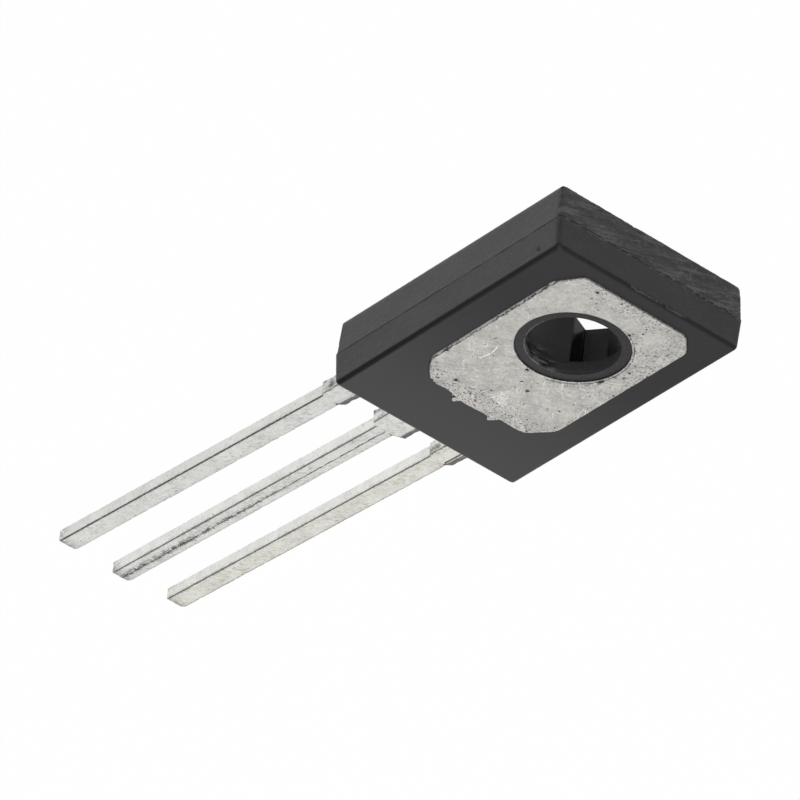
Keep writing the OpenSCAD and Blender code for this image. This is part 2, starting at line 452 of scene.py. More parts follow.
class Shader:
    """A material that is built node by node round a Principled shader."""

    def __init__(self, name: str) -> None:
        """Makes an empty material of that name.

        Args:
            name: Name of the material.
        """
        self.material = bpy.data.materials.new(name)
        self.material.use_nodes = True
        self.tree = self.material.node_tree
        self.surface = self.tree.nodes["Principled BSDF"]
        self.place = self.node("ShaderNodeTexCoord", output="Object")

    def node(self, kind: str, settings: Optional[dict] = None, values: Optional[dict] = None,
             output: Union[int, str] = 0) -> Wire:
        """Adds a node.

        Args:
            kind: The node's type.
            settings: Its properties, which are set first.
            values: Numbers, tuples or wires for its input sockets, by name or place.
            output: The output socket that is wanted.

        Returns:
            That output.
        """
        item = self.tree.nodes.new(kind)
        for key, value in (settings or {}).items():
            setattr(item, key, value)
        for key, value in (values or {}).items():
            self.feed(item.inputs[key], value)
        return Wire(self, item.outputs[output])

    def feed(self, socket: bpy.types.NodeSocket, value: "Wire | Number | Sequence[float]") -> None:
        """Links a wire to a socket, or writes a number or a colour on it.

        Args:
            socket: The input socket.
            value: What it gets.
        """
        if isinstance(value, Wire):
            self.tree.links.new(value.socket, socket)
        elif isinstance(value, (int, float)):
            socket.default_value = value
        else:
            width = len(socket.default_value)
            socket.default_value = (tuple(value) + (1.0,))[:width]

    def set(self, **values: "Wire | Number | Sequence[float]") -> None:
        """Feeds the Principled shader's sockets, with _ for a space in their names."""
        for key, value in values.items():
            self.feed(self.surface.inputs[key.replace("_", " ")], value)

    def axis(self, name: str) -> Wire:
        """Returns one coordinate of the surface point, in millimetres."""
        return self.node("ShaderNodeSeparateXYZ", values={0: self.place}, output=name) * (1 / MM)

    def away(self, centre: Span = (0, 0)) -> Wire:
        """Returns the distance in plan from a centre, in millimetres."""
        return sum((self.axis(name) - middle) ** 2 for name, middle in zip("XY", centre)) ** 0.5

    def stored(self, attribute: str, output: str) -> Wire:
        """Returns a vertex attribute of the piece."""
        return self.node("ShaderNodeAttribute", {"attribute_name": attribute}, output=output)

    def lead_place(self) -> list[Wire]:
        """Returns the distances from a lead's -X side, from its tip and below its top."""
        place = self.stored("lead_place", "Vector")
        return [self.node("ShaderNodeSeparateXYZ", values={0: place}, output=name) for name in "XYZ"]

    def spread(self, size: Union[float, Triple], turn: Triple = (0, 0, 0)) -> Wire:
        """Returns object coordinates in units of size millimetres, turned by degrees.

        Args:
            size: The unit, or one for each axis.
            turn: Turn about each axis.

        Returns:
            The turned and scaled coordinates.
        """
        sizes = size if isinstance(size, tuple) else (size,) * 3
        turned_place = self.node("ShaderNodeMapping", {"vector_type": "POINT"},
                                 {"Vector": self.place, "Rotation": tuple(map(math.radians, turn))})
        return self.node("ShaderNodeVectorMath", {"operation": "MULTIPLY"},
                         {0: turned_place, 1: tuple(1 / (MM * part) for part in sizes)})

    def cloud(self, kind: Noise) -> Wire:
        """Returns noise about 0.5 of the given kind.

        Args:
            kind: The noise's sizes.

        Returns:
            The noise.
        """
        return self.node("ShaderNodeTexNoise", None, {
            "Vector": self.spread(kind.size, kind.turn), "Scale": 1.0, "Detail": kind.detail,
            "Roughness": kind.rough})

    def specks(self, pitch: float, radius: float, seed: float = 0.0) -> Wire:
        """Returns 1 inside small round specks that lie about pitch millimetres apart.

        Args:
            pitch: Mean distance of the specks.
            radius: Their radius in millimetres.
            seed: Shift of the pattern.

        Returns:
            The mask.
        """
        shift = self.node("ShaderNodeVectorMath", {"operation": "ADD"},
                          {0: self.spread(pitch), 1: (seed, seed * 0.7, seed * 1.3)})
        away = self.node("ShaderNodeTexVoronoi", {"feature": "F1"},
                         {"Vector": shift, "Scale": 1.0, "Randomness": 1.0}, "Distance")
        return away.step(radius / pitch, radius / pitch * 0.4)

    def mix(self, share: "Wire | Number", first: "Wire | Colour", second: "Wire | Colour") -> Wire:
        """Mixes two colours by a share."""
        return self.node("ShaderNodeMix", {"data_type": "RGBA"}, {0: share, 6: first, 7: second}, 2)

    def paint(self, ground: "Wire | Colour", *coats: "tuple[Wire, Colour]") -> Wire:
        """Lays coats of colour over a ground, each with the share that it covers, lowest first.

        Args:
            ground: The lowest colour.
            coats: Share and colour of each coat.

        Returns:
            The colour seen from above.
        """
        for share, colour in coats:
            ground = self.mix(share, ground, colour)
        return ground

    def bump(self, height: Wire, distance: float, under: Optional[Wire] = None) -> Wire:
        """Returns the normal of a surface whose height swings by distance millimetres.

        Args:
            height: The height.
            distance: Its full swing.
            under: A coarser or finer normal to start from.

        Returns:
            The normal.
        """
        values = {"Height": height, "Distance": distance * MM, "Strength": 1.0}
        if under is not None:
            values["Normal"] = under
        return self.node("ShaderNodeBump", None, values)


# ---- Finishes -----------------------------------------------------------------------------


@dataclass(frozen=True)
class EpoxyMap:
    """The moulding's zones, 1 inside and 0 outside, and the noises that its colour and relief share."""

    x: Wire
    y: Wire
    z: Wire
    radius: Wire
    torn: Wire
    bore: Wire
    flank: Wire
    arris: Wire
    liner: Wire
    scarred: Wire
    streaks: Wire
    chips: Wire
    scar: Wire
    haze: Wire
    scuff: Wire
    grain: Wire
    wobble: Wire


@dataclass(frozen=True)
class EpoxyFinish:
    """Filled black moulding compound with a fine matt grain.

    A Span is where a zone or a mark fades in: 0 at its first number and 1 at its second.
    """

    name: str = "moulded_epoxy"
    colour: Colour = (0.0076, 0.0073, 0.0092)
    torn_colour: Colour = (0.122, 0.123, 0.118)
    worn_and_highlight_colour: Colour = (0.075, 0.075, 0.072)
    bore_shade_colour: Colour = (0.0035, 0.0035, 0.004)
    liner_colour: Colour = (0.067, 0.067, 0.068)
    ring_colour: Colour = (0.038, 0.038, 0.0385)
    arris_shade_colour: Colour = (0.004, 0.004, 0.0045)
    roughness: float = 0.4
    bore_roughness: float = 0.42
    torn_roughness: float = 0.55
    gate_y: float = 3.5
    parting_z: float = -1.25
    bore_reach: Span = (2.35, 2.3)
    bore_depth: Span = (-0.46, -0.5)
    pocket_reach: Span = (1.76, 1.82)
    pocket_depth: Span = (-0.6, -0.64)
    grain_depth: float = 0.003
    rip_depth: float = 0.07
    flank_depth: Span = (-0.12, -0.2)
    gate_end: Span = (3.4, 3.52)
    arris_depth: Span = (-0.34, -0.24)
    arris_side: Span = (-3.6, -3.72)
    arris_end: Span = (3.45, 3.55)
    liner_reach: Span = (1.62, 1.57)
    liner_depth: Span = (-0.07, -0.1)
    streak_noise: Noise = Noise((1.7, 1.7, 0.17), 5, 0.62, (0, -16, 0))
    cluster_noise: Noise = Noise((1.5, 1.5, 0.6), 3, 0.5, (0, -16, 0))
    chip_noise: Noise = Noise((0.22, 0.22, 0.1), 4, 0.65, (0, -20, 0))
    scar_noise: Noise = Noise((0.55, 0.55, 0.11), 4, 0.6, (6, -8, 0))
    torn_edge_noise: Noise = Noise((0.3, 0.3, 0.12))
    haze_noise: Noise = Noise((2.2, 2.2, 1.2), 2)
    scuff_noise: Noise = Noise((0.5, 0.5, 0.22), 3, 0.6)
    wobble_noise: Noise = Noise(0.3, 3, 0.6)
    grain_noise: Noise = Noise(0.05, 3, 0.65)
    swell_noise: Noise = Noise(0.4, 2)

    def material(self) -> bpy.types.Material:
        """Builds the material and returns it."""
        s = Shader(self.name)
        on = self.zones(s)
        s.set(Base_Color=self.tint(s, on), Roughness=self.gloss(on), Normal=self.relief(s, on))
        return s.material

    def zones(self, s: Shader) -> EpoxyMap:
        """Maps the moulding.

        Args:
            s: The shader.

        Returns:
            The zones and the shared noises.
        """
        x, y, z = (s.axis(name) for name in "XYZ")
        radius = s.away()
        edge = z + s.cloud(self.torn_edge_noise) * 0.3 - 0.15
        torn = y.step(self.gate_y, self.gate_y + 0.05)
        torn = torn * edge.step(self.parting_z + 0.03, self.parting_z - 0.03)
        bore = radius.step(*self.bore_reach) * z.step(*self.bore_depth)
        # The arris zone is painted shade: a dark band along the rounded tab-side arris, on the -X side and
        # at the gate end.
        arris = x.step(*self.arris_side).most(y.step(*self.arris_end))
        arris = arris * z.step(*self.arris_depth) * (1 - bore)
        liner = radius.step(*self.liner_reach) * z.step(*self.liner_depth) * (1 - bore)
        scarred = x.step(0.7, 0.2) * y.step(-0.3, -0.8) * z.step(-0.09, -0.14) * z.step(-0.95, -0.7)
        return EpoxyMap(x, y, z, radius, torn, bore, z.step(*self.flank_depth), arris, liner,
                        scarred * radius.step(1.75, 1.7), *map(s.cloud, (
                            self.streak_noise, self.chip_noise, self.scar_noise, self.haze_noise,
                            self.scuff_noise, self.grain_noise, self.wobble_noise)))

    def tint(self, s: Shader, on: EpoxyMap) -> Wire:
        """Lays the epoxy's tones, its wear, and its painted shade and highlights over each other.

        Args:
            s: The shader.
            on: The moulding's map.

        Returns:
            The colour.
        """
        uneven = on.scuff.step(0.35, 0.7) * 0.5 + on.grain.step(0.4, 0.7) * 0.5
        ring = on.radius.step(1.95, 1.9) * on.z.step(-0.12, -0.08) * on.grain.step(0.48, 0.66)
        # lip is a painted highlight: a light line on the liner's inner edge, on the hole's -X -Y side only.
        lip = (on.radius + (on.scar - 0.5) * 0.05).near(1.545, 0.035, 0.012) * on.z.step(-0.16, -0.12)
        lip = lip * (on.x + on.y).step(-0.5, -1.5) * on.scar.step(0.4, 0.5)
        # Along the parting line, seam is a painted highlight on the front slope of the flash, and the dash
        # line just above it is a painted shadow in the groove.
        level = on.z - self.parting_z + (on.wobble - 0.5) * 0.03
        seam = level.near(-0.022, 0.02, 0.006) * (on.wobble.step(0.3, 0.55) * 0.5 + 0.1)
        parting_groove_shadow = level.near(0.012, 0.018, 0.006) * on.scuff.step(0.5, 0.6)
        chipped = level.near(0.02, 0.07, 0.02) * on.y.step(3.4, 3.55) * on.chips.step(0.5, 0.62)
        flake = (on.y + (on.wobble - 0.5) * 0.12).near(3.635, 0.022, 0.008) * on.z.step(-0.3, -0.2)
        flake = flake * on.x.near(0.3, 1.3, 1.1) * on.wobble.step(0.36, 0.5)
        # A lighter tone on the front face and along the front arris: wear, and on the arris also a painted
        # highlight.
        front_arris_wear_and_highlight = on.z.step(-2.28, -2.42) * (1 - on.bore) * (on.wobble.step(0.3, 0.6) * 0.6 + 0.3)
        plain = s.paint(
            self.colour,
            (on.haze.step(0.3, 0.7), tone(self.colour, 1.5)),
            (on.flank * uneven, tone(self.colour, 2.9)),
            # Painted shade on the rounded tab-side arris.
            (on.arris, self.arris_shade_colour),
            # Painted shade: the hole below the liner is painted darker than the rest of the epoxy.
            (on.bore, self.bore_shade_colour),
            (ring * 0.9, self.ring_colour),
            (on.liner, self.liner_colour),
            (on.scarred * on.scar.step(0.53, 0.58), tone(self.worn_and_highlight_colour, 3.0)),
            (on.scarred * on.scar.step(0.5, 0.45), BLACK),
            # Painted highlight on the liner's inner edge.
            (lip * 0.8, tone(self.worn_and_highlight_colour, 2.6)),
            # Painted highlight below the parting line and painted shadow above it.
            (seam, self.worn_and_highlight_colour),
            (parting_groove_shadow, BLACK),
            (chipped, self.torn_colour),
            # The flake, and the front face's wear with the painted highlight of the front arris.
            (flake.most(front_arris_wear_and_highlight), self.worn_and_highlight_colour))
        rips = on.streaks.step(0.45, 0.62) * 0.9 + on.chips.step(0.5, 0.62) * 0.6
        clusters = s.cloud(self.cluster_noise).step(0.42, 0.6) * 0.85 + 0.35
        return s.mix(on.torn, plain, s.mix(rips * clusters + 0.14, self.colour, self.torn_colour))

    def gloss(self, on: EpoxyMap) -> Wire:
        """Returns the roughness.

        Args:
            on: The moulding's map.

        Returns:
            The roughness, which falls off towards the leads on the tab's side.
        """
        pocket = on.radius.step(*self.pocket_reach) * on.z.step(*self.pocket_depth) * on.bore
        end = on.y.step(*self.gate_end) * (1 - on.torn) * on.flank
        fall = (1 - on.flank) * on.y.step(-7.5, 1.5) * 0.27
        matt = self.roughness + fall - on.arris * 0.1 + end * 0.14 + on.liner * 0.2
        matt = matt + (on.haze - 0.5) * 0.12 + (on.grain - 0.5) * 0.08
        glossy = matt + (self.bore_roughness - matt) * on.bore - pocket * 0.2
        rough_end = self.torn_roughness + (on.streaks - 0.5) * 0.2
        return glossy + (rough_end - glossy) * on.torn

    def relief(self, s: Shader, on: EpoxyMap) -> Wire:
        """Returns the normal of the grain, with the rips of the torn end over it.

        Args:
            s: The shader.
            on: The moulding's map.

        Returns:
            The normal.
        """
        grained = on.flank * (1 - on.bore * 0.85)
        fine = on.grain * (grained * 6.5 + 0.5) + s.cloud(self.swell_noise) + on.scuff * grained * 5.0
        rips = (on.streaks * 1.6 + on.chips * 0.9) * on.torn + on.scar * on.scarred * 0.6
        return s.bump(rips, self.rip_depth, s.bump(fine, self.grain_depth))


@dataclass(frozen=True)
class TinFinish:
    """Dull tin plate on copper alloy, pitted and scratched on the tab and cleaner on the leads."""

    name: str = "tin_plate"
    tab_colour: Colour = (0.56, 0.545, 0.515)
    lead_colour: Colour = (0.64, 0.645, 0.62)
    lead_side_highlight_colour: Colour = (0.82, 0.825, 0.80)
    grime_and_shade_colour: Colour = (0.035, 0.032, 0.03)
    scratch_and_highlight_colour: Colour = (0.95, 0.94, 0.9)
    stain_colour: Colour = (0.36, 0.345, 0.335)
    tab_roughness: float = 0.4
    lead_roughness: float = 0.33
    lead_start_y: float = -5.4
    rim_x: float = -2.72
    ring_radius: float = 1.955
    bow_centre: Span = (-2.85, -2.15)
    bow_radius: float = 1.25
    cut_x: float = -1.78
    spot_centre: Span = (0.25, -3.7)
    arris_width: float = 0.03
    arris_line_shade: float = 0.75
    far_line_shade: float = 0.1
    seam: float = -1.0
    line_end: float = 16.0
    lead_width: float = 0.72
    shabby: float = 0.6
    ragged_noise: Noise = Noise((0.12, 0.2, 0.12), 3, 0.6)
    blotch_noise: Noise = Noise(0.62, 5, 0.62)
    mottle_noise: Noise = Noise(0.14, 5, 0.7)
    fleck_noise: Noise = Noise(0.05, 4, 0.75)
    grain_noise: Noise = Noise(0.04, 2, 0.6)
    drawn_noise: Noise = Noise((0.05, 1.4, 0.05), 3, 0.6)
    coarse_noise: Noise = Noise(0.27, 4, 0.62)
    clump_noise: Noise = Noise(0.8, 3, 0.6)
    spark_noise: Noise = Noise(0.09, 4, 0.75)
    crumb_noise: Noise = Noise(0.085, 4, 0.75)
    patch_noise: Noise = Noise(0.7, 2)
    scratch_noise: Noise = Noise((1.6, 0.035, 1.6), 2, 0.5, (0, 0, 32))
    scrape_noise: Noise = Noise((0.07, 0.9, 0.07), 2, 0.5, (0, 0, -38))

    def material(self) -> bpy.types.Material:
        """Builds the material and returns it."""
        s = Shader(self.name)
        x, y = s.axis("X"), s.axis("Y")
        lead = y.step(self.lead_start_y + 0.1, self.lead_start_y - 0.1)
        tab = 1 - lead
        radius = s.away()
        blotch, mottle, flecks = map(s.cloud, (self.blotch_noise, self.mottle_noise, self.fleck_noise))
        clumps = s.cloud(self.clump_noise).step(0.47, 0.6) * (y.step(1.0, -3.5) * 0.5 + 0.5)

        ragged = s.cloud(self.ragged_noise) * 0.16
        inset = x - ragged
        # rim is painted shade: a dark line on the rounded -X edge of the tab.
        rim = inset.step(self.rim_x - 0.075, self.rim_x - 0.055) * inset.step(self.rim_x, self.rim_x - 0.03)
        rim = rim * y.size().step(3.9, 3.6) * tab
        # Painted highlight: a bright, less metallic strip along the tab's outer -X edge, outside the dark
        # line.
        outer_edge_highlight = (x - ragged * 0.4).step(self.rim_x + 0.045, self.rim_x + 0.02) * (1 - rim) * tab
        # groove is painted shade: a dark line round the tab's hole, on its +X side only.
        groove = (radius + (mottle - 0.5) * 0.05).near(self.ring_radius, 0.03, 0.012) * x.step(0.2, 1.0)
        pits = s.specks(0.31, 0.045).most(s.specks(0.19, 0.028, 3.1))
        speckle = pits * s.cloud(self.patch_noise).step(0.45, 0.6) * (1 - lead * 0.5)
        grime = (s.stored("grime", "Fac") + (mottle - 0.5) * 0.5).step(0.25, 0.75)
        # Dark mask: real dirt (specks, grime and blobs) together with painted shade (the rim, the lead's
        # edge lines and the groove).
        dirt_and_painted_shade = (speckle * 0.75).most(grime * (1 - lead * 0.2), rim * 0.85, self.lines(s, lead),
                                     groove * mottle.step(0.38, 0.5) * 0.85)

        below = s.lead_place()[2]
        dark, pale = tone(self.tab_colour, 0.6), tone(self.tab_colour, 1.55)
        # Painted highlight: the lead's sides, below its top, are painted lighter than its top.
        lead_tone_with_lit_sides = s.mix(below.step(0.04, 0.09), self.lead_colour, self.lead_side_highlight_colour)
        worn = s.paint(
            s.mix(lead, self.tab_colour, lead_tone_with_lit_sides),
            (blotch.step(0.38, 0.64) * 0.42 * (1 - lead * 0.7), dark),
            (flecks.step(0.52, 0.7) * blotch.step(0.4, 0.6) * (0.8 - lead * 0.45), dark),
            (flecks.step(0.46, 0.3) * (0.5 - lead * 0.2), pale),
            (mottle.step(0.54, 0.68) * 0.38 * (1 - lead * 0.2), dark),
            (mottle.step(0.44, 0.34) * 0.35, pale),
            (s.cloud(self.spark_noise).step(0.58, 0.62) * clumps * (1 - lead * 0.7), pale),
            (s.cloud(self.scrape_noise).step(0.62, 0.7) * clumps * 0.8 * tab, pale),
            (self.crumbs(s, x, y, radius, clumps) * tab, self.grime_and_shade_colour),
            (s.cloud(self.scratch_noise).step(0.66, 0.74) * 0.5 * tab, pale),
            # Real scratches, with the painted highlight of the outer -X edge.
            (self.gouges(s, x, y, flecks).most(outer_edge_highlight) * tab, self.scratch_and_highlight_colour),
            (self.stains(s, lead, mottle), self.stain_colour))

        rough = self.tab_roughness + lead * (self.lead_roughness - self.tab_roughness)
        relief = mottle * 0.9 + s.cloud(self.grain_noise) * 0.3 + s.cloud(self.drawn_noise) * lead * 0.5
        relief = relief - speckle * 1.2 + flecks * 0.5 + s.cloud(self.coarse_noise) * 2.6
        s.set(Base_Color=s.mix(dirt_and_painted_shade, worn, self.grime_and_shade_colour), Metallic=1 - (dirt_and_painted_shade * 0.85).most(outer_edge_highlight * 0.8),
              Roughness=rough + (blotch - 0.5) * 0.2 + (mottle - 0.5) * 0.15 + dirt_and_painted_shade * 0.3,
              Normal=s.bump(relief * (1.3 - lead * 0.8), 0.014))
        return s.material

    def crumbs(self, s: Shader, x: Wire, y: Wire, radius: Wire, clumps: Wire) -> Wire:
        """Returns the dark crumbs, which lie thickest beside the hole and along the tab's edges.

        Args:
            s: The shader.
            x: Place across the tab.
            y: Place along the tab.
            radius: Distance from the hole's axis.
            clumps: Where the wear of the whole face gathers.

        Returns:
            The share of crumbs.
        """
        around = radius.near(1.95, 0.35, 0.08) * x.step(-0.5, 1.2)
        far_corner = y.step(2.15, 2.7) * x.step(-2.4, -1.2)
        fringe = (x.step(1.2, 2.2) * y.step(-1.5, 0.5)).most(around, y.step(-3.2, -4.4), far_corner,
                                                             x.step(2.2, 2.6) * 0.8)
        return s.cloud(self.crumb_noise).step(0.555, 0.6) * (fringe * 0.85 + clumps * 0.2)

    def gouges(self, s: Shader, x: Wire, y: Wire, flecks: Wire) -> Wire:
        """Returns the bright marks on the tab: a curved scratch, a straight one and a scuffed spot.

        Args:
            s: The shader.
            x: Place across the tab.
            y: Place along the tab.
            flecks: Fine noise that breaks the marks up.

        Returns:
            1 on the marks and 0 elsewhere.
        """
        wander = (flecks - 0.5) * 0.05
        bow = (s.away(self.bow_centre) + wander).near(self.bow_radius, 0.035, 0.012)
        bow = bow * y.near(self.bow_centre[1], 0.5, 0.4) * x.step(-2.2, -2.1) * flecks.step(0.36, 0.5)
        cut = (x * 0.76 - y * 0.65 + wander).near(-0.197, 0.028, 0.01)
        cut = cut * x.near(self.cut_x, 0.4, 0.3) * flecks.step(0.4, 0.5)
        uneven = (s.cloud(Noise(0.3, 4, 0.7)) - 0.5) * 1.6
        spot = (s.away(self.spot_centre) + uneven).step(0.5, 0.15)
        return (bow * 0.9).most(cut * 0.5, spot * flecks.step(0.5, 0.56))

    def stains(self, s: Shader, lead: Wire, mottle: Wire) -> Wire:
        """Returns the dull scaly patches of a lead, its smudged tip and the smudge beside its seam.

        Args:
            s: The shader.
            lead: 1 on the leads and 0 on the tab.
            mottle: Noise that breaks the smudges up.

        Returns:
            The share of stain.
        """
        across, along, below = s.lead_place()
        scales = s.cloud(Noise((0.06, 0.2, 0.06), 4, 0.72, (0, 0, 35))).step(0.5, 0.58)
        patches = s.cloud(Noise((0.45, 1.3, 0.45), 2)).step(0.38, 0.58) * self.shabby
        patches = patches * (below.step(0.14, 0.06) * 0.75 + 0.25)
        tip = along.step(0.6, 0.1) * mottle.step(0.4, 0.55) * 0.9
        beside = across.near(self.seam - 0.06, 0.2, 0.06) * along.step(8.0, 2.5)
        beside = beside * mottle.step(0.42, 0.54) * below.step(0.12, 0.05)
        return (scales * patches).most(tip, beside) * lead

    def lines(self, s: Shader, lead: Wire) -> Wire:
        """Returns the dark lines of a lead: painted shade along its top arrises, and dark marks along its
        seam.

        Args:
            s: The shader.
            lead: 1 on the leads and 0 on the tab.

        Returns:
            1 on the lines and 0 elsewhere.
        """
        across, along, below = s.lead_place()
        wobble, rough = s.cloud(Noise(0.25, 4, 0.65)), s.cloud(Noise(0.09, 2, 0.6))
        wander = (wobble - 0.5) * 0.07
        corner = across.most(below) + wander.most(0)
        # Painted shade: dark lines along the lead's top arrises, on the -X side and, weaker by default, on
        # the +X side.
        arris = corner.step(self.arris_width * 1.35, self.arris_width * 0.8) * self.arris_line_shade
        far = (self.lead_width - across - wander.size() * 0.5).most(below)
        right = far.step(0.06, 0.035) * self.far_line_shade * wobble.step(0.3, 0.42)
        right = right * across.step(self.lead_width + 0.04, self.lead_width)
        on_top = below.step(0.1, 0.06)
        offset = (across - self.seam + wander + (rough - 0.5) * 0.06).size()
        seam = offset.step(0.034, 0.012) * on_top * (wobble.step(0.35, 0.55) * 0.5 + 0.45)
        blobs = along.step(9.5, 6.0) * offset.step(0.14, 0.03) * (rough * wobble).step(0.22, 0.3) * on_top
        marks = (arris * (wobble.step(0.3, 0.55) * 0.5 + 0.5)).most(right, seam, blobs * 0.8)
        return marks * lead * along.step(self.line_end, self.line_end - 0.2)


@dataclass(frozen=True)
class SealedFinish:
    """Finish of a piece that the moulding closes over."""

    name: str
    colour: Colour
    roughness: float
    streak: Union[float, Triple] = 0.1

    def material(self) -> bpy.types.Material:
        """Builds the material and returns it."""
        s = Shader(self.name)
        cloud = s.cloud(Noise(self.streak))
        s.set(Base_Color=s.mix(cloud.step(0.3, 0.7), tone(self.colour, 0.75), self.colour), Metallic=1.0,
              Roughness=self.roughness + (cloud - 0.5) * 0.2, Normal=s.bump(cloud, 0.002))
        return s.material


# ---- Leads --------------------------------------------------------------------------------


@dataclass
class Bar:
    """A flat bar of the leadframe with rounded arrises, extruded along -Y through stations."""

    stations: list[Station]
    thickness: float = 0.48
    arris: float = 0.045
    pace: float = 0.09
    outline_pace: float = 0.11
    seed: int = 1
    width: float = 0.72

    def blank(self, grow: float = 0.0) -> Solid:
        """Builds the bar without wear.

        Args:
            grow: Distance that the section's sides are moved out by.

        Returns:
            The bar.
        """
        solid = Solid()
        section = solid.rectangle(self.width + 2 * grow, self.thickness + 2 * grow)
        for side in (-1, 1):
            for end in (-1, 1):
                solid.round_corner((side * self.width, end * self.thickness), self.arris, 3)
        section = solid.divide_outline(lambda middle: self.outline_pace)
        turn = Matrix.Rotation(math.radians(90), 3, "X")
        bmesh.ops.rotate(solid.mesh, matrix=turn, cent=(0, 0, 0), verts=section.verts[:])
        y, x, z, width = self.stations[0]
        solid.push(section.verts[:], (x, y, z - self.thickness / 2))
        self.widen(solid, section, x, width - self.width)
        for near, far in zip(self.stations, self.stations[1:]):
            count = max(1, math.ceil((near[0] - far[0]) / self.pace))
            step = [(b - a) / count for a, b in zip(near, far)]
            for index in range(count):
                section = solid.extrude(section)
                solid.push(section.verts[:], (step[1], step[0], step[2]))
                self.widen(solid, section, near[1] + step[1] * (index + 1), step[3])
        return solid.face_out()

    @staticmethod
    def widen(solid: Solid, section: bmesh.types.BMFace, middle: float, extra: float) -> None:
        """Moves the two sides of a section apart by extra in all.

        Args:
            solid: The bar's solid.
            section: The section's face.
            middle: The bar's middle x.
            extra: Width to add.
        """
        for side in (-1, 1):
            solid.push([v for v in section.verts if (v.co.x - middle) * side > NEXT_TO_NOTHING],
                       (side * extra / 2, 0, 0))

    def middle(self, y: float) -> Triple:
        """Returns the middle x, top z and width of the bar at a place along it.

        Args:
            y: The place.

        Returns:
            The three sizes there.
        """
        for near, far in zip(self.stations, self.stations[1:]):
            if far[0] <= y <= near[0]:
                share = (near[0] - y) / (near[0] - far[0])
                return tuple(lerp(a, b, share) for a, b in zip(near[1:], far[1:]))
        return self.stations[-1][1:] if y < self.stations[0][0] else self.stations[0][1:]


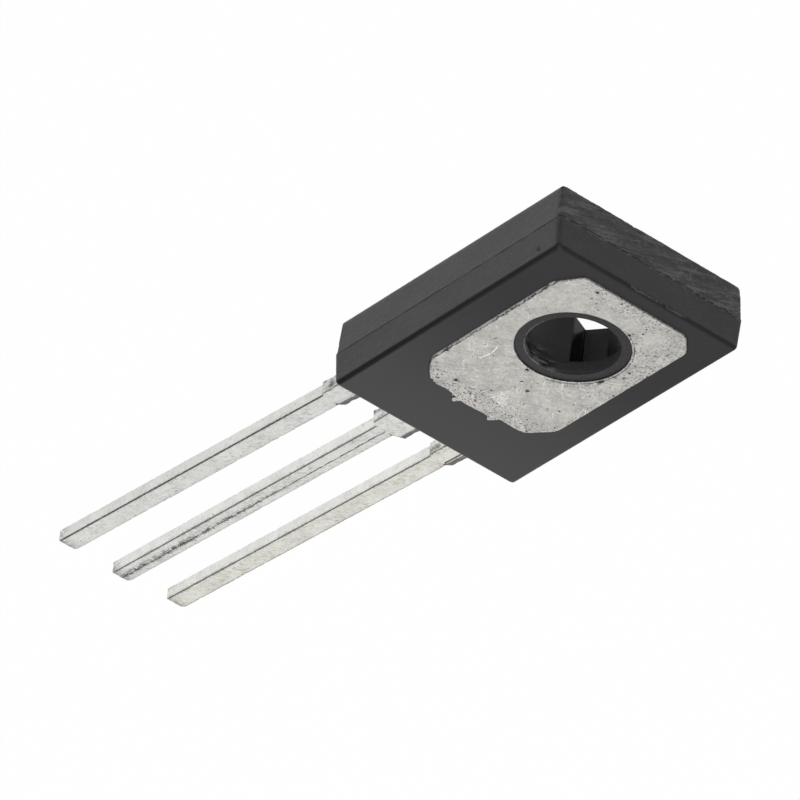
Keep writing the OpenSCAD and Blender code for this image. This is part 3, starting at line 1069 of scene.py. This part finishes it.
@dataclass
class Lead:
    """Sizes that the three leads share outside the moulding, and their wear."""

    root_y: float = -7.265
    kink_y: float = -7.565
    stub_end_y: float = -9.225
    step: float = 0.1
    top_z: float = -1.25
    droop: float = 1.72
    width: float = 0.72
    tip_roll: float = 0.04
    nick_depth: float = 0.03
    chatter_depth: float = 0.012
    torn: float = 0.16
    rag_depth: float = 0.03
    rolled_width: float = 0.19
    bruise_length: float = 0.28
    bruise_depth: float = 0.03

    def outside(self, x: float, stub: float, tip_y: float, swing: float,
                lean: Span = (0.0, 0.0)) -> list[Station]:
        """Returns the stations of a lead from its root to its tip.

        Args:
            x: Middle of the lead at the moulding.
            stub: Width of the wide root.
            tip_y: Place of the tip.
            swing: Sideways bend in degrees.
            lean: How far the wide root's middle lies aside, at its start and its end.

        Returns:
            The stations.
        """
        def at(y: float, width: float, aside: float = 0.0) -> Station:
            """Returns the station at a place along the lead."""
            run = max(0.0, self.kink_y - y)
            return (y, x + aside + run * slope(swing), self.top_z - run * slope(self.droop), width)

        return [
            at(self.root_y + 0.25, stub, lean[0]),
            at(self.kink_y, stub, lean[0]),
            at(self.stub_end_y, stub, lean[1]),
            at(self.stub_end_y - self.step, self.width),
            at(tip_y + 0.12, self.width),
            at(tip_y, self.width - 0.03),
        ]

    def wear(self, bar: Bar) -> Callable[[Vector], Vector]:
        """Returns a function from a place on a bar to how far the surface there is knocked aside.

        Args:
            bar: The lead's bar.

        Returns:
            The function.
        """
        tip_y = bar.stations[-1][0]

        def shift(place: Vector) -> Vector:
            """Returns the shift of one point, in millimetres."""
            if place.y > self.root_y - 0.02:
                return Vector((0, 0, 0))
            x, top, width = bar.middle(place.y)
            side = (place.x - x) / (width / 2)
            drop = (top - place.z) / bar.thickness
            upper = drop < 0.5
            edge = ease(0.82, 0.97, abs(side))
            rim = max(ease(0.16, 0.04, drop), ease(0.84, 0.96, drop)) if edge > 0 else 0.0
            nick = max(0.0, ripple(place, 0.17, bar.seed + 3) - 0.15) * self.nick_depth
            chatter = abs(self.chatter_depth * ripple(place, 0.12, bar.seed + 5))
            by = Vector((-math.copysign(1, side) * edge * (nick * rim + chatter * 0.5), 0, 0))
            by.x += 0.006 * ripple(place, 0.9, bar.seed)
            by.z = -(1 - 2 * (drop > 0.5)) * (edge * rim * (nick + chatter * 0.6))
            by.z -= upper * 0.003 * (1 + ripple(place, 0.3, bar.seed + 7))
            by += self.torn_root(place, bar, side, drop, edge)
            bruise = ease(tip_y + self.bruise_length, tip_y, place.y)
            by.z -= bruise ** 3 * upper * self.tip_roll
            by.z -= bruise * upper * self.bruise_depth * abs(ripple(place, 0.11, bar.seed + 11))
            by.x -= bruise * edge * math.copysign(0.015, side) * abs(ripple(place, 0.2, bar.seed + 13))
            return by

        return shift

    def torn_root(self, place: Vector, bar: Bar, side: float, drop: float, edge: float) -> Vector:
        """Returns how the torn sides of the wide root move a point.

        Args:
            place: The point.
            bar: The lead's bar.
            side: Place across the bar, from -1 to 1.
            drop: Share of the thickness below the top.
            edge: 1 near the bar's sides and 0 elsewhere.

        Returns:
            The shift, 0 outside the wide root.
        """
        by = Vector((0, 0, 0))
        stub = ease(self.stub_end_y - self.step, self.stub_end_y, place.y)
        if stub > 0:
            rag = 0.5 + 0.5 * ripple((place.x, place.y, place.z * 0.4), 0.16, bar.seed + 9)
            rough = ripple((place.x, place.y * 0.6, place.z), 0.13, bar.seed + 15)
            lean = self.torn * 0.35 * (1 - drop) * (0.75 + 0.5 * rough)
            by.x -= stub * (side * abs(side) * lean + math.copysign(1, side) * edge * self.rag_depth * rag)
            free = stub * ease(self.root_y - 0.02, self.root_y - 0.2, place.y)
            half = bar.middle(place.y)[2] / 2
            rolled = free * ease(1 - self.rolled_width / half, 1.0, side)
            by.x += rolled * (0.14 + 0.09 * rough)
            by.z -= rolled * max(0.0, 1 - drop * 1.6) * self.torn * (0.4 + 0.3 * rough)
        return by

    def grime(self, bar: Bar) -> Callable[[Vector], float]:
        """Returns a function from a place on a bar to how grimy it is there.

        Args:
            bar: The lead's bar.

        Returns:
            The function.
        """
        tip_y = bar.stations[-1][0]

        def amount(place: Vector) -> float:
            """Returns the grime, 0 to 1, at one point."""
            if place.y > self.root_y + 0.2:
                return 0.0
            x, top, width = bar.middle(place.y)
            across = place.x - x
            drop = (top - place.z) / bar.thickness
            value = 0.0
            if place.y > self.stub_end_y - self.step:
                right = ease(0.24, 0.1, width / 2 - across) * 0.9
                left = ease(0.03, 0.14, drop) * ease(0.2, 0.12, across + width / 2) * 0.4
                value = max(right, left) + (0.35 * right + 0.9 * left) * ripple(place, 0.22, bar.seed + 25)
            mark = ease(tip_y + 0.2, tip_y + 0.05, place.y) * (drop < 0.4)
            return max(value, mark * (0.25 + 0.7 * ripple(place, 0.12, bar.seed + 27)))

        return amount

    def place(self, bar: Bar) -> Callable[[Vector], Vector]:
        """Returns a function from a place on a bar to where that is on its lead.

        Args:
            bar: The lead's bar.

        Returns:
            The function.
        """
        def on_lead(place: Vector) -> Vector:
            """Returns the distances from the lead's -X side, from its tip and below its top."""
            x, top, width = bar.middle(place.y)
            return Vector((place.x - x + width / 2, place.y - bar.stations[-1][0], top - place.z))

        return on_lead


@dataclass
class Terminal:
    """The base or the emitter lead with the bonding post at its inner end."""

    node: str
    x: float
    tip_y: float
    swing: float
    stub: float = 0.96
    post: Span = (1.3, 1.0)
    seed: int = 1
    lead: Lead = field(default_factory=Lead)

    def bar(self) -> Bar:
        """Returns the lead's bar, from its post to its tip."""
        post_near = self.lead.root_y + 0.75
        top = self.lead.top_z
        inner = [
            (post_near + self.post[1], self.x, top, self.post[0]),
            (post_near, self.x, top, self.post[0]),
            (post_near - 0.01, self.x, top, self.lead.width),
            (self.lead.root_y + 0.4, self.x, top, self.lead.width),
            (self.lead.root_y + 0.3, self.x, top, self.stub),
        ]
        return Bar(inner + self.lead.outside(self.x, self.stub, self.tip_y, self.swing), seed=self.seed)

    def build(self, finish: bpy.types.Material) -> bpy.types.Object:
        """Builds the piece, dresses it and returns it.

        Args:
            finish: Material of the lead.

        Returns:
            The finished object.
        """
        bar = self.bar()
        solid = bar.blank().displace(self.lead.wear(bar))
        piece = finished(solid, self.node + "_tinned", [self.node], finish)
        stain(piece, self.lead.grime(bar))
        chart(piece, self.lead.place(bar))
        return piece


# ---- Collector ----------------------------------------------------------------------------


@dataclass
class Pit:
    """A dent in the tab's face."""

    x: float
    y: float
    width: float = 0.09
    depth: float = 0.03
    length: float = 1.0
    turn: float = 0.0

    def at(self, place: Vector) -> float:
        """Returns the share of the pit's full depth at a place, 0 outside it.

        Args:
            place: The point, in millimetres.

        Returns:
            The share.
        """
        dx, dy = place.x - self.x, place.y - self.y
        if abs(dx) > self.width * self.length or abs(dy) > self.width * self.length:
            return 0.0
        c, s = math.cos(math.radians(self.turn)), math.sin(math.radians(self.turn))
        along, across = (dx * c + dy * s) / self.length, dy * c - dx * s
        return ease(self.width, self.width * 0.25, math.hypot(along, across))


@dataclass
class Collector:
    """The exposed tab, its neck and the middle lead, which are one stamping."""

    width: float = 5.46
    length: float = 7.79
    far_y: float = 3.09
    thickness: float = 0.48
    hole_radius: float = 1.88
    corner_cuts: tuple[Span, ...] = ((0.72, 0.9), (0.55, 0.92), (0.62, 0.66), (0.68, 0.86))
    corner_soft: tuple[float, ...] = (0.3, 0.16, 0.16, 0.22)
    edge_round: float = 0.075
    ledge: Span = (0.3, 0.2)
    ear: Span = (0.36, 0.73)
    neck_rise: float = 0.15
    neck_width: float = 1.47
    neck_bend: float = 0.1
    face_pitch: float = 0.046
    outline_pace: float = 0.06
    hole_rim: float = 0.02
    pit_grime_depth: float = 0.045
    tip_y: float = -22.66
    swing: float = -0.95
    stub: float = 1.36
    lead: Lead = field(default_factory=Lead)
    pits: tuple[Pit, ...] = (
        Pit(-1.39, -4.07, 0.085, 0.06), Pit(0.57, -2.85, 0.05, 0.04, 2.6, 80), Pit(-0.2, -1.98, 0.08, 0.06),
        Pit(2.0, -2.92, 0.05, 0.04), Pit(1.65, -3.12, 0.045, 0.03), Pit(0.35, -4.06, 0.05, 0.035),
        Pit(-0.6, -4.28, 0.055, 0.04), Pit(-0.25, -4.45, 0.05, 0.035), Pit(-1.95, -4.6, 0.07, 0.05),
        Pit(-0.85, -4.8, 0.07, 0.05, 1.6, 20), Pit(1.05, 2.15, 0.055, 0.04), Pit(0.7, 2.6, 0.05, 0.035),
        Pit(0.8, 1.8, 0.075, 0.05), Pit(-1.4, 2.75, 0.07, 0.04, 1.5, 30), Pit(1.75, 1.4, 0.05, 0.03),
        Pit(0.5, -2.28, 0.05, 0.03), Pit(2.12, -1.58, 0.05, 0.03), Pit(2.07, -2.33, 0.045, 0.03),
        Pit(0.1, -2.58, 0.05, 0.03, 1.5, 40), Pit(-0.5, 2.9, 0.04, 0.03), Pit(2.35, 1.95, 0.045, 0.03),
        Pit(2.62, -1.02, 0.05, 0.04), Pit(2.66, 0.55, 0.05, 0.04), Pit(-2.68, -0.3, 0.06, 0.04),
        Pit(-2.66, -3.05, 0.08, 0.05), Pit(1.85, -0.75, 0.1, 0.05, 1.8, 70),
        Pit(2.15, 0.28, 0.06, 0.03, 1.6, 60), Pit(2.2, -0.05, 0.05, 0.03),
        Pit(2.18, -0.33, 0.04, 0.03), Pit(2.05, 0.68, 0.05, 0.03),
        Pit(-1.27, 1.83, 0.04, 0.025), Pit(-0.78, 2.08, 0.05, 0.035), Pit(2.5, -3.7, 0.04, 0.03),
    )

    @property
    def near_y(self) -> float:
        """Place of the tab's edge on the lead side."""
        return self.far_y - self.length

    def outline(self, solid: Solid, grow: float) -> bmesh.types.BMFace:
        """Makes the tab's outline with its cut corners, its ears and its ragged edge.

        Args:
            solid: The empty solid to draw in.
            grow: Distance that the outline is moved out by.

        Returns:
            The face.
        """
        half = Vector((self.width / 2 + grow, self.length / 2 + grow))
        signs = ((-1, -1), (-1, 1), (1, 1), (1, -1))
        corners = []
        for (sx, sy), (dx, dy) in zip(signs, self.corner_cuts):
            ends = [(sx * (half.x - dx), sy * half.y), (sx * half.x, sy * (half.y - dy))]
            corners += ends if sx * sy > 0 else ends[::-1]
        solid.polygon(corners)
        for index, corner in enumerate(corners):
            solid.round_corner(corner, self.corner_soft[index // 2], 3)
        face = solid.divide_outline(lambda middle: self.outline_pace)
        solid.move((-0.01, self.far_y - self.length / 2, 0))

        def rag(place: Vector) -> Vector:
            """Returns how far a point of the outline stands off the plain one."""
            depth, peak = self.ear
            gap = abs(place.x) - peak
            tooth = depth * (1 - max(gap / 0.3, -gap / 0.25))
            reach = max(0.0, tooth, self.neck_rise * ease(0.95, 0.7, abs(place.x)))
            jag = 0.02 * ripple(place, 0.4, 2) + 0.012 * ripple(place, 0.12, 4)
            out = Vector((place.x, place.y - (self.far_y - self.length / 2), 0)).normalized()
            near = place.y < self.near_y + 0.05
            return out * (jag * (1.5 if near else 0.6) - 0.01) - Vector((0, reach * near, 0))

        solid.displace(rag)
        return face

    def plate(self, grow: float = 0.0) -> Solid:
        """Builds the tab from its ledge up to its rounded face.

        Args:
            grow: Distance that the outline is moved out by.

        Returns:
            The plate, still without its hole.
        """
        solid = Solid()
        face = self.outline(solid, grow)
        centre = (0.0, self.far_y - self.length / 2)

        def shrink(by: float) -> Span:
            """Returns the scale that moves the outline in by a distance."""
            return (1 - 2 * by / self.width, 1 - 2 * by / self.length)

        wide, thick = self.ledge
        solid.move((0, 0, -self.thickness))
        solid.stretch(face, shrink(-wide), centre)
        face = solid.lift(face, thick)
        inner = tuple(1 / part for part in shrink(-wide))
        face = solid.lift(face, 0, inner, centre)
        wall = self.thickness - thick
        face = solid.lift(face, wall - self.edge_round)
        before = 0.0
        for turn in (30, 60, 90):
            angle = math.radians(turn)
            inset = self.edge_round * (1 - math.cos(angle))
            rise = self.edge_round * (math.sin(angle) - math.sin(angle - math.radians(30)))
            face = solid.lift(face, rise, shrink(inset - before), centre)
            before = inset
        return solid.face_out()

    def bar(self) -> Bar:
        """Returns the neck and the middle lead."""
        bend = self.near_y + 0.02 - self.neck_bend
        foot = bend + self.lead.top_z
        inner = [
            (self.near_y + 0.5, 0, -0.08, self.neck_width),
            (bend, 0, -0.08, self.neck_width),
            (foot, 0, self.lead.top_z, self.neck_width),
            (self.lead.root_y + 0.45, 0, self.lead.top_z, self.neck_width - 0.1),
        ]
        outside = self.lead.outside(0, self.stub, self.tip_y, self.swing, (0.02, 0.06))
        return Bar(inner + outside, seed=31)

    def blank(self, grow: float = 0.0) -> Solid:
        """Returns the stamping without its face's detail, for cutting the moulding.

        Args:
            grow: Distance that its sides are moved out by.

        Returns:
            The stamping.
        """
        hole = turned([(0, 1), (self.hole_radius - grow, 1), (self.hole_radius - grow, -1), (0, -1)], 96)
        solid = self.plate(grow).combine(self.bar().blank(grow), Join.UNITE)
        return solid.combine(hole, Join.CUT)

    def sink(self, place: Vector) -> float:
        """Returns the depth of the tab's face at a place, from its pits and its dents.

        Args:
            place: The point, in millimetres.

        Returns:
            The depth.
        """
        dent = 0.004 * (1 + ripple(place, 0.5, 6)) + 0.004 * (1 + ripple(place, 0.16, 8))
        crest = ripple((place.x * 1.3, place.y, 0), 0.21, 14)
        dent += 0.012 * max(0.0, crest - 0.25)
        return dent + sum(pit.depth * pit.at(place) for pit in self.pits)

    def build(self, finish: bpy.types.Material) -> bpy.types.Object:
        """Builds the piece, dresses it and returns it.

        Args:
            finish: Material of the stamping.

        Returns:
            The finished object.
        """
        rim = self.hole_rim
        hole = turned([(0, 1), (self.hole_radius + rim, 1), (self.hole_radius + rim, 0),
                       (self.hole_radius, -rim), (self.hole_radius, -1), (0, -1)], 144)
        hole.displace(lambda p: Vector((p.x, p.y, 0)) * 0.004 * ripple(p, 0.3, 12))
        solid = self.plate().combine(hole, Join.CUT)

        def on_face(face: bmesh.types.BMFace) -> bool:
            """Tells whether a face lies in the tab's mounting face."""
            return all(abs(v.co.z) < NEXT_TO_NOTHING for v in face.verts)

        solid.grid_faces(on_face, self.face_pitch)
        for vert in solid.mesh.verts:
            if abs(vert.co.z) < NEXT_TO_NOTHING:
                vert.co.z -= self.sink(vert.co)
        bar = self.bar()
        lead = bar.blank().displace(self.lead.wear(bar))
        solid.combine(lead, Join.UNITE)
        piece = finished(solid, "collector_tab_tinned", ["collector_tab"], finish)
        lead_grime = self.lead.grime(bar)

        def grime(place: Vector) -> float:
            """Returns the grime, 0 to 1, at one point."""
            if place.y < self.near_y - 0.4:
                return lead_grime(place)
            if place.z < -0.12:
                return 0.0
            pit = max(item.at(place) * min(1.0, item.depth / self.pit_grime_depth) for item in self.pits)
            return min(1.0, pit * 1.7)

        stain(piece, grime)
        chart(piece, self.lead.place(bar))
        return piece


# ---- Moulding -----------------------------------------------------------------------------


@dataclass(frozen=True)
class Knock:
    """A knocked spot on an edge of the moulding."""

    place: Triple
    width: float
    depth: float


@dataclass
class Moulding:
    """The epoxy body with its liner, its tapered hole and the winged pocket in the front face."""

    width: float = 7.7
    length: float = 10.98
    thickness: float = 2.5298
    parting: float = 1.25
    draft: float = 3.0
    front_round: float = 0.12
    tab_side_round: float = 0.19
    corner: float = 0.12
    gate_corner_wear: float = 0.07
    gate_y: float = 3.715
    offset: float = -0.05
    setback: float = 0.05
    flash: float = 0.019
    proud: float = 0.07
    bore_radius: float = 1.53
    lower_radius: float = 1.6
    lower_draft: float = 3.5
    liner_length: float = 0.48
    pocket: tuple[float, float, float, float] = (4.52, 3.4, 3.62, 2.14)
    wing_slope: float = 24.0
    pocket_top: float = -0.63
    torn_depth: float = 0.028
    pocket_round: float = 0.035
    worn_band: float = 0.24
    groove_depth: float = 0.012
    arris_band: float = 0.2
    outline_pace: Span = (0.055, 0.085)  # at the gate end, and elsewhere
    tear_turn: float = 19.0
    crevice: float = 0.01
    knocks: tuple[Knock, ...] = (
        Knock((-0.8, 3.65, -2.5), 0.13, 0.06), Knock((-3.86, 2.7, -0.42), 0.07, 0.06),
    )

    @property
    def centre(self) -> Span:
        """Middle of the moulding in plan."""
        return (self.offset, self.gate_y - self.length / 2)

    def half_levels(self, height: float, steps: int, radius: float) -> list[Span]:
        """Returns (height over the parting line, inset) pairs of one half, up to its face.

        Args:
            height: Height of the half.
            steps: Rings on its drafted wall.
            radius: Rounding of its arris.

        Returns:
            The pairs.
        """
        lean = slope(self.draft)
        wall = height - radius
        low = 0.05
        heights = [lerp(low, wall, i / steps) for i in range(steps + 1)]
        levels = [(rise, rise * lean) for rise in heights]
        for turn in (15, 30, 45, 60, 75, 90):
            angle = math.radians(turn)
            levels.append((wall + radius * math.sin(angle), wall * lean + radius * (1 - math.cos(angle))))
        return levels

    def levels(self) -> list[Span]:
        """Returns (z, inset) pairs from the front face up to the tab side."""
        front = [(-self.parting - h, inset)
                 for h, inset in self.half_levels(self.thickness - self.parting, 22, self.front_round)]
        rear = [(-self.parting + h, inset)
                for h, inset in self.half_levels(self.parting - self.proud, 14, self.tab_side_round)]
        line = [(-self.parting + h, 0.0) for h in (-0.028, -0.012, 0.0, 0.012, 0.028)]
        return front[::-1] + line + rear

    def block(self) -> Solid:
        """Builds the drafted block with rounded arrises, flash and the torn gate end."""
        solid = Solid()
        solid.rectangle(self.width, self.length)
        for sx in (-1, 1):
            for sy in (-1, 1):
                solid.round_corner((sx * self.width / 2, sy * self.length / 2), self.corner, 4)
        face = solid.divide_outline(lambda m: self.outline_pace[m.y <= self.length / 2 - 0.2])
        levels = self.levels()
        solid.move((*self.centre, levels[0][0]))

        def size(inset: float) -> Vector:
            """Returns the block's size in plan at an inset."""
            return Vector((self.width - 2 * inset, self.length - 2 * inset))

        first = size(levels[0][1])
        solid.stretch(face, (first.x / self.width, first.y / self.length), self.centre)
        for (z0, inset0), (z1, inset1) in zip(levels, levels[1:]):
            ratio = (size(inset1).x / size(inset0).x, size(inset1).y / size(inset0).y)
            face = solid.lift(face, z1 - z0, ratio, self.centre)
        return solid.face_out().displace(self.weather)

    def weather(self, place: Vector) -> Vector:
        """Returns how far a point of the block is off the plain drafted form.

        Args:
            place: The point, in millimetres.

        Returns:
            The shift.
        """
        inner = Vector((self.width / 2 - self.worn_band, self.length / 2 - self.worn_band))
        off = Vector((place.x - self.centre[0], place.y - self.centre[1]))
        out = Vector((math.copysign(max(0.0, abs(off.x) - inner.x), off.x),
                      math.copysign(max(0.0, abs(off.y) - inner.y), off.y), 0))
        if out.length < 1e-6:
            return Vector((0, 0, 0))
        corner = ease(0.0, 0.15, min(abs(out.x), abs(out.y)))
        at_gate = out.y > 0.1
        at_leads = out.y < -0.1
        out.normalize()
        height = place.z + self.parting
        shift = out * self.line_wear(place, height, corner)
        if at_gate and height < -0.01:
            shift.y -= self.tear(place) * ease(0.0, 0.06, -height)
        if at_leads and height < -0.005:
            shift.y += self.setback * ease(0.0, 0.03, -height) + 0.006 * ripple(place, 0.2, 17)
        if at_leads and height > 0:
            shift.y += 0.008 * (1 + ripple(place, 0.25, 19))
        for knock in self.knocks:
            away = math.dist(place, knock.place)
            shift -= out * knock.depth * ease(knock.width, knock.width * 0.3, away)
        if at_gate and height < 0:
            shift -= out * corner * self.gate_corner_wear * lerp(0.15, 1.0, ease(0.85, 1.25, -height))
        return shift

    def line_wear(self, place: Vector, height: float, corner: float) -> float:
        """Returns how far the flash, the groove beside it and the worn front arris stand out.

        Args:
            place: The point.
            height: Its height over the parting line.
            corner: 1 at the block's upright corners and 0 on its sides.

        Returns:
            The distance, negative where the surface is worn back.
        """
        amount = -0.0015 * (1 + ripple(place, 0.8, 1))
        ridge = max(0.0, 1 - abs(height + 0.004) / 0.02) * (1 - corner)
        rag = 0.5 + 0.55 * ripple(place, 0.6, 2) + 0.35 * ripple(place, 0.13, 3)
        amount += ridge * self.flash * min(1.0, max(0.1, rag))
        groove = max(0.0, 1 - abs(height - 0.02) / 0.02)
        amount -= groove * self.groove_depth * max(0.0, 0.6 + 0.8 * ripple(place, 0.5, 5))
        front = self.thickness - self.parting
        arris = ease(front - self.arris_band, front, abs(height)) * (height < 0)
        return amount - arris * 0.01 * max(0.0, ripple(place, 0.14, 7) + 0.1)

    def tear(self, place: Vector) -> float:
        """Returns how deep the torn gate end is ripped at a place, in slanting streaks.

        Args:
            place: The point, in millimetres.

        Returns:
            The depth.
        """
        turn = math.radians(self.tear_turn)
        along = place.x * math.cos(turn) - place.z * math.sin(turn)
        across = place.x * math.sin(turn) + place.z * math.cos(turn)
        rip = 0.55 + 0.5 * ripple((along / 7, across, 0), 0.1, 11)
        rip += 0.35 * ripple((along / 2, across, 0), 0.07, 13)
        patch = ease(-0.35, 0.3, ripple(place, 0.9, 15))
        return self.torn_depth * min(1.2, max(0.0, rip)) * lerp(0.35, 1.0, patch)

    def bore(self) -> Solid:
        """Returns the straight bore of the liner with the tapered hole below it."""
        mouth = self.lower_radius + (self.thickness - self.liner_length) * slope(self.lower_draft)
        low, rim, lip = -self.thickness - 0.2, 0.02, 0.02
        hole = turned([
            (0, 0.5), (self.bore_radius + rim, 0.5), (self.bore_radius + rim, -self.proud),
            (self.bore_radius + rim * 0.3, -self.proud - rim * 0.3), (self.bore_radius, -self.proud - rim),
            (self.bore_radius, -self.liner_length + lip), (self.bore_radius + lip, -self.liner_length),
            (self.lower_radius, -self.liner_length), (mouth, -self.thickness), (mouth, low), (0, low)], 128)
        return hole.displace(lambda p: Vector((p.x, p.y, 0)) * 0.0035 * ripple(p, 0.35, 21))

    def pocket_cut(self) -> Solid:
        """Returns the winged pocket that opens in the front face."""
        wide, high, shoulders, ends = self.pocket
        waist = high / 2 - shoulders / 2 * slope(self.wing_slope)
        side = [(wide / 2, ends / 2), (shoulders / 2, high / 2), (0, waist), (-shoulders / 2, high / 2),
                (-wide / 2, ends / 2)]
        solid = Solid()
        face = solid.polygon(side + [(-x, -y) for x, y in side], -self.thickness - 0.2)
        solid.lift(face, self.pocket_top + self.thickness + 0.2)
        solid.face_out()
        upright = [e for e in solid.mesh.edges if abs(e.verts[0].co.z - e.verts[1].co.z) > 1]
        bmesh.ops.bevel(solid.mesh, geom=upright, offset=self.pocket_round, offset_type="OFFSET",
                        segments=2, profile=0.5, affect="EDGES", material=-1, clamp_overlap=True)
        return solid.face_out()

    def build(self, stamping: Collector, terminals: Sequence[Terminal],
              finish: bpy.types.Material) -> bpy.types.Object:
        """Builds the piece round the leadframe, dresses it and returns it.

        Args:
            stamping: The collector, whose form the moulding leaves free.
            terminals: The two outer leads.
            finish: Material of the epoxy.

        Returns:
            The finished object.
        """
        solid = self.block().combine(self.bore(), Join.CUT).combine(self.pocket_cut(), Join.CUT)
        solid.combine(stamping.blank(self.crevice), Join.CUT)
        for terminal in terminals:
            solid.combine(terminal.bar().blank(self.crevice), Join.CUT)
        return finished(solid, "body_moulding_epoxy", ["body_moulding"], finish, 28.0)


# ---- Studio -------------------------------------------------------------------------------


@dataclass
class Softbox:
    """A square lamp that faces the object."""

    name: str
    towards: tuple[float, float, float]
    distance: float
    side: float
    radiance: float

    def build(self) -> bpy.types.Object:
        """Hangs the lamp and returns it."""
        lamp = bpy.data.lights.new(self.name, "AREA")
        lamp.shape, lamp.size = "SQUARE", self.side
        lamp.energy = self.radiance * math.pi * self.side ** 2
        item = placed(self.name, lamp)
        away = Vector(self.towards).normalized()
        item.matrix_world = (Matrix.Translation(away * self.distance)
                             @ away.to_track_quat("Z", "Y").to_matrix().to_4x4())
        return item


@dataclass
class Studio:
    """Floor, light and camera."""

    floor_size: float = 1.2
    floor_colour: float = 0.8
    floor_white: float = 0.985
    # Share of the white glow that the painted shadow under the object keeps in reflections.
    shade: float = 0.35
    painted_shadow_box: tuple[float, float, float, float] = (-3.85, 3.75, -7.2, 3.65)
    world_level: float = 0.3
    lamps: tuple[Softbox, ...] = (
        Softbox("front_softbox", (0.494, -0.648, 0.58), 0.35, 0.32, 0.85),
        Softbox("top_softbox", (0.1, 0.1, 1.0), 0.4, 0.3, 2.4),
    )
    lens: float = 450.0
    sensor: float = 36.0
    eye: tuple[float, float, float] = (-159.684, 200.701, 185.148)
    right: tuple[float, float, float] = (0.75661, 0.64890, -0.08039)
    down: tuple[float, float, float] = (0.42832, -0.39898, 0.81078)
    view: tuple[float, float, float] = (0.49404, -0.64788, -0.57981)

    def build_floor(self, height: float) -> None:
        """Lays a plain pale floor at a height in metres, with a painted shadow under the object that only
        reflections see.

        Args:
            height: Height of the floor.
        """
        mesh = bmesh.new()
        bmesh.ops.create_grid(mesh, x_segments=1, y_segments=1, size=self.floor_size / 2)
        bmesh.ops.translate(mesh, vec=(0, 0, height), verts=mesh.verts[:])
        data = bpy.data.meshes.new("floor")
        mesh.to_mesh(data)
        mesh.free()
        floor = placed("floor", data)
        s = Shader("pale_floor")
        s.tree.nodes.remove(s.surface)
        grey = (self.floor_colour,) * 3
        matt = s.node("ShaderNodeBsdfDiffuse", values={"Color": grey})
        white = s.node("ShaderNodeEmission", values={"Color": (1, 1, 1)})
        x, y = s.axis("X"), s.axis("Y")
        west, east, south, north = self.painted_shadow_box
        # Painted shadow: in reflections the floor under the object's box loses most of its white glow and
        # shows the plain grey floor.
        under = x.step(west, west + 0.1) * x.step(east, east - 0.1)
        under = under * y.step(south, south + 0.1) * y.step(north, north - 0.1)
        mirrored = s.node("ShaderNodeLightPath", output="Is Glossy Ray")
        share = self.floor_white * (1 - under * mirrored * (1 - self.shade))
        seen = s.node("ShaderNodeMixShader", values={0: share, 1: matt, 2: white})
        rays = [s.node("ShaderNodeLightPath", output=name)
                for name in ("Is Camera Ray", "Is Glossy Ray", "Is Transmission Ray")]
        shown = rays[0].most(rays[1]).most(rays[2])
        both = s.node("ShaderNodeMixShader", values={0: shown, 1: matt, 2: seen})
        s.feed(s.tree.nodes["Material Output"].inputs["Surface"], both)
        data.materials.append(s.material)

    def build_light(self) -> None:
        """Sets the even surrounding light and hangs the lamps."""
        world = bpy.data.worlds.new("surroundings")
        world.use_nodes = True
        sky = world.node_tree.nodes["Background"]
        sky.inputs["Color"].default_value = (1, 1, 1, 1)
        sky.inputs["Strength"].default_value = self.world_level
        bpy.context.scene.world = world
        for lamp in self.lamps:
            lamp.build()

    def build_camera(self) -> None:
        """Places the camera."""
        data = bpy.data.cameras.new("camera")
        data.lens, data.sensor_width, data.clip_start, data.clip_end = self.lens, self.sensor, 0.01, 10.0
        camera = placed("camera", data)
        axes = Matrix((self.right, -Vector(self.down), -Vector(self.view))).transposed()
        camera.matrix_world = Matrix.Translation(Vector(self.eye) * MM) @ axes.to_4x4()
        bpy.context.scene.camera = camera

    def build(self) -> None:
        """Builds the whole studio."""
        self.build_camera()
        self.build_floor(CAD_BOX[0][2])
        self.build_light()
        bpy.context.scene.view_settings.view_transform = "Standard"


# ---- Assembly -----------------------------------------------------------------------------


@dataclass
class SealedInside:
    """The die, its solder and the bond wires, which keep their CAD shapes."""

    finishes: dict[str, SealedFinish] = field(default_factory=lambda: {
        "silicon_die": SealedFinish("polished_silicon", (0.2, 0.22, 0.26), 0.25),
        "die_attach": SealedFinish("dull_solder", (0.5, 0.5, 0.5), 0.5),
        "base_wire": SealedFinish("fine_bond_wire", (0.75, 0.75, 0.76), 0.3, (0.02, 0.02, 0.3)),
        "emitter_wire": SealedFinish("thick_bond_wire", (0.75, 0.75, 0.76), 0.32, (0.03, 0.03, 0.4)),
    })

    def dress(self) -> None:
        """Gives each CAD node its material."""
        for name, finish in self.finishes.items():
            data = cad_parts[name].data
            data.materials.clear()
            data.materials.append(finish.material())
            LOG.info("%s: %s", name, finish.name)


def main() -> None:
    """Builds the studio and the transistor, piece by piece."""
    logging.basicConfig(level=logging.INFO, format="%(name)s: %(message)s")
    Studio().build()
    epoxy = EpoxyFinish().material()
    middle_tin = TinFinish("middle_tin_plate", seam=0.39, line_end=13.45, shabby=0.75)
    collector = Collector()
    terminals = (
        Terminal("base_lead", -2.29, -22.53, -1.34, seed=41),
        Terminal("emitter_lead", 2.29, -22.5, -1.24, seed=61),
    )
    outer_tin = (
        TinFinish("base_tin_plate", lead_side_highlight_colour=(0.74, 0.745, 0.72), arris_width=0.042,
                  arris_line_shade=0.85, shabby=0.8, stain_colour=(0.4, 0.38, 0.37)),
        TinFinish("emitter_tin_plate", lead_colour=(0.66, 0.655, 0.61), far_line_shade=0.9, shabby=0.85,
                  stain_colour=(0.43, 0.39, 0.31)),
    )
    Moulding().build(collector, terminals, epoxy)
    collector.build(middle_tin.material())
    for terminal, tin in zip(terminals, outer_tin):
        terminal.build(tin.material())
    SealedInside().dress()


if __name__ == "__main__":
    main()
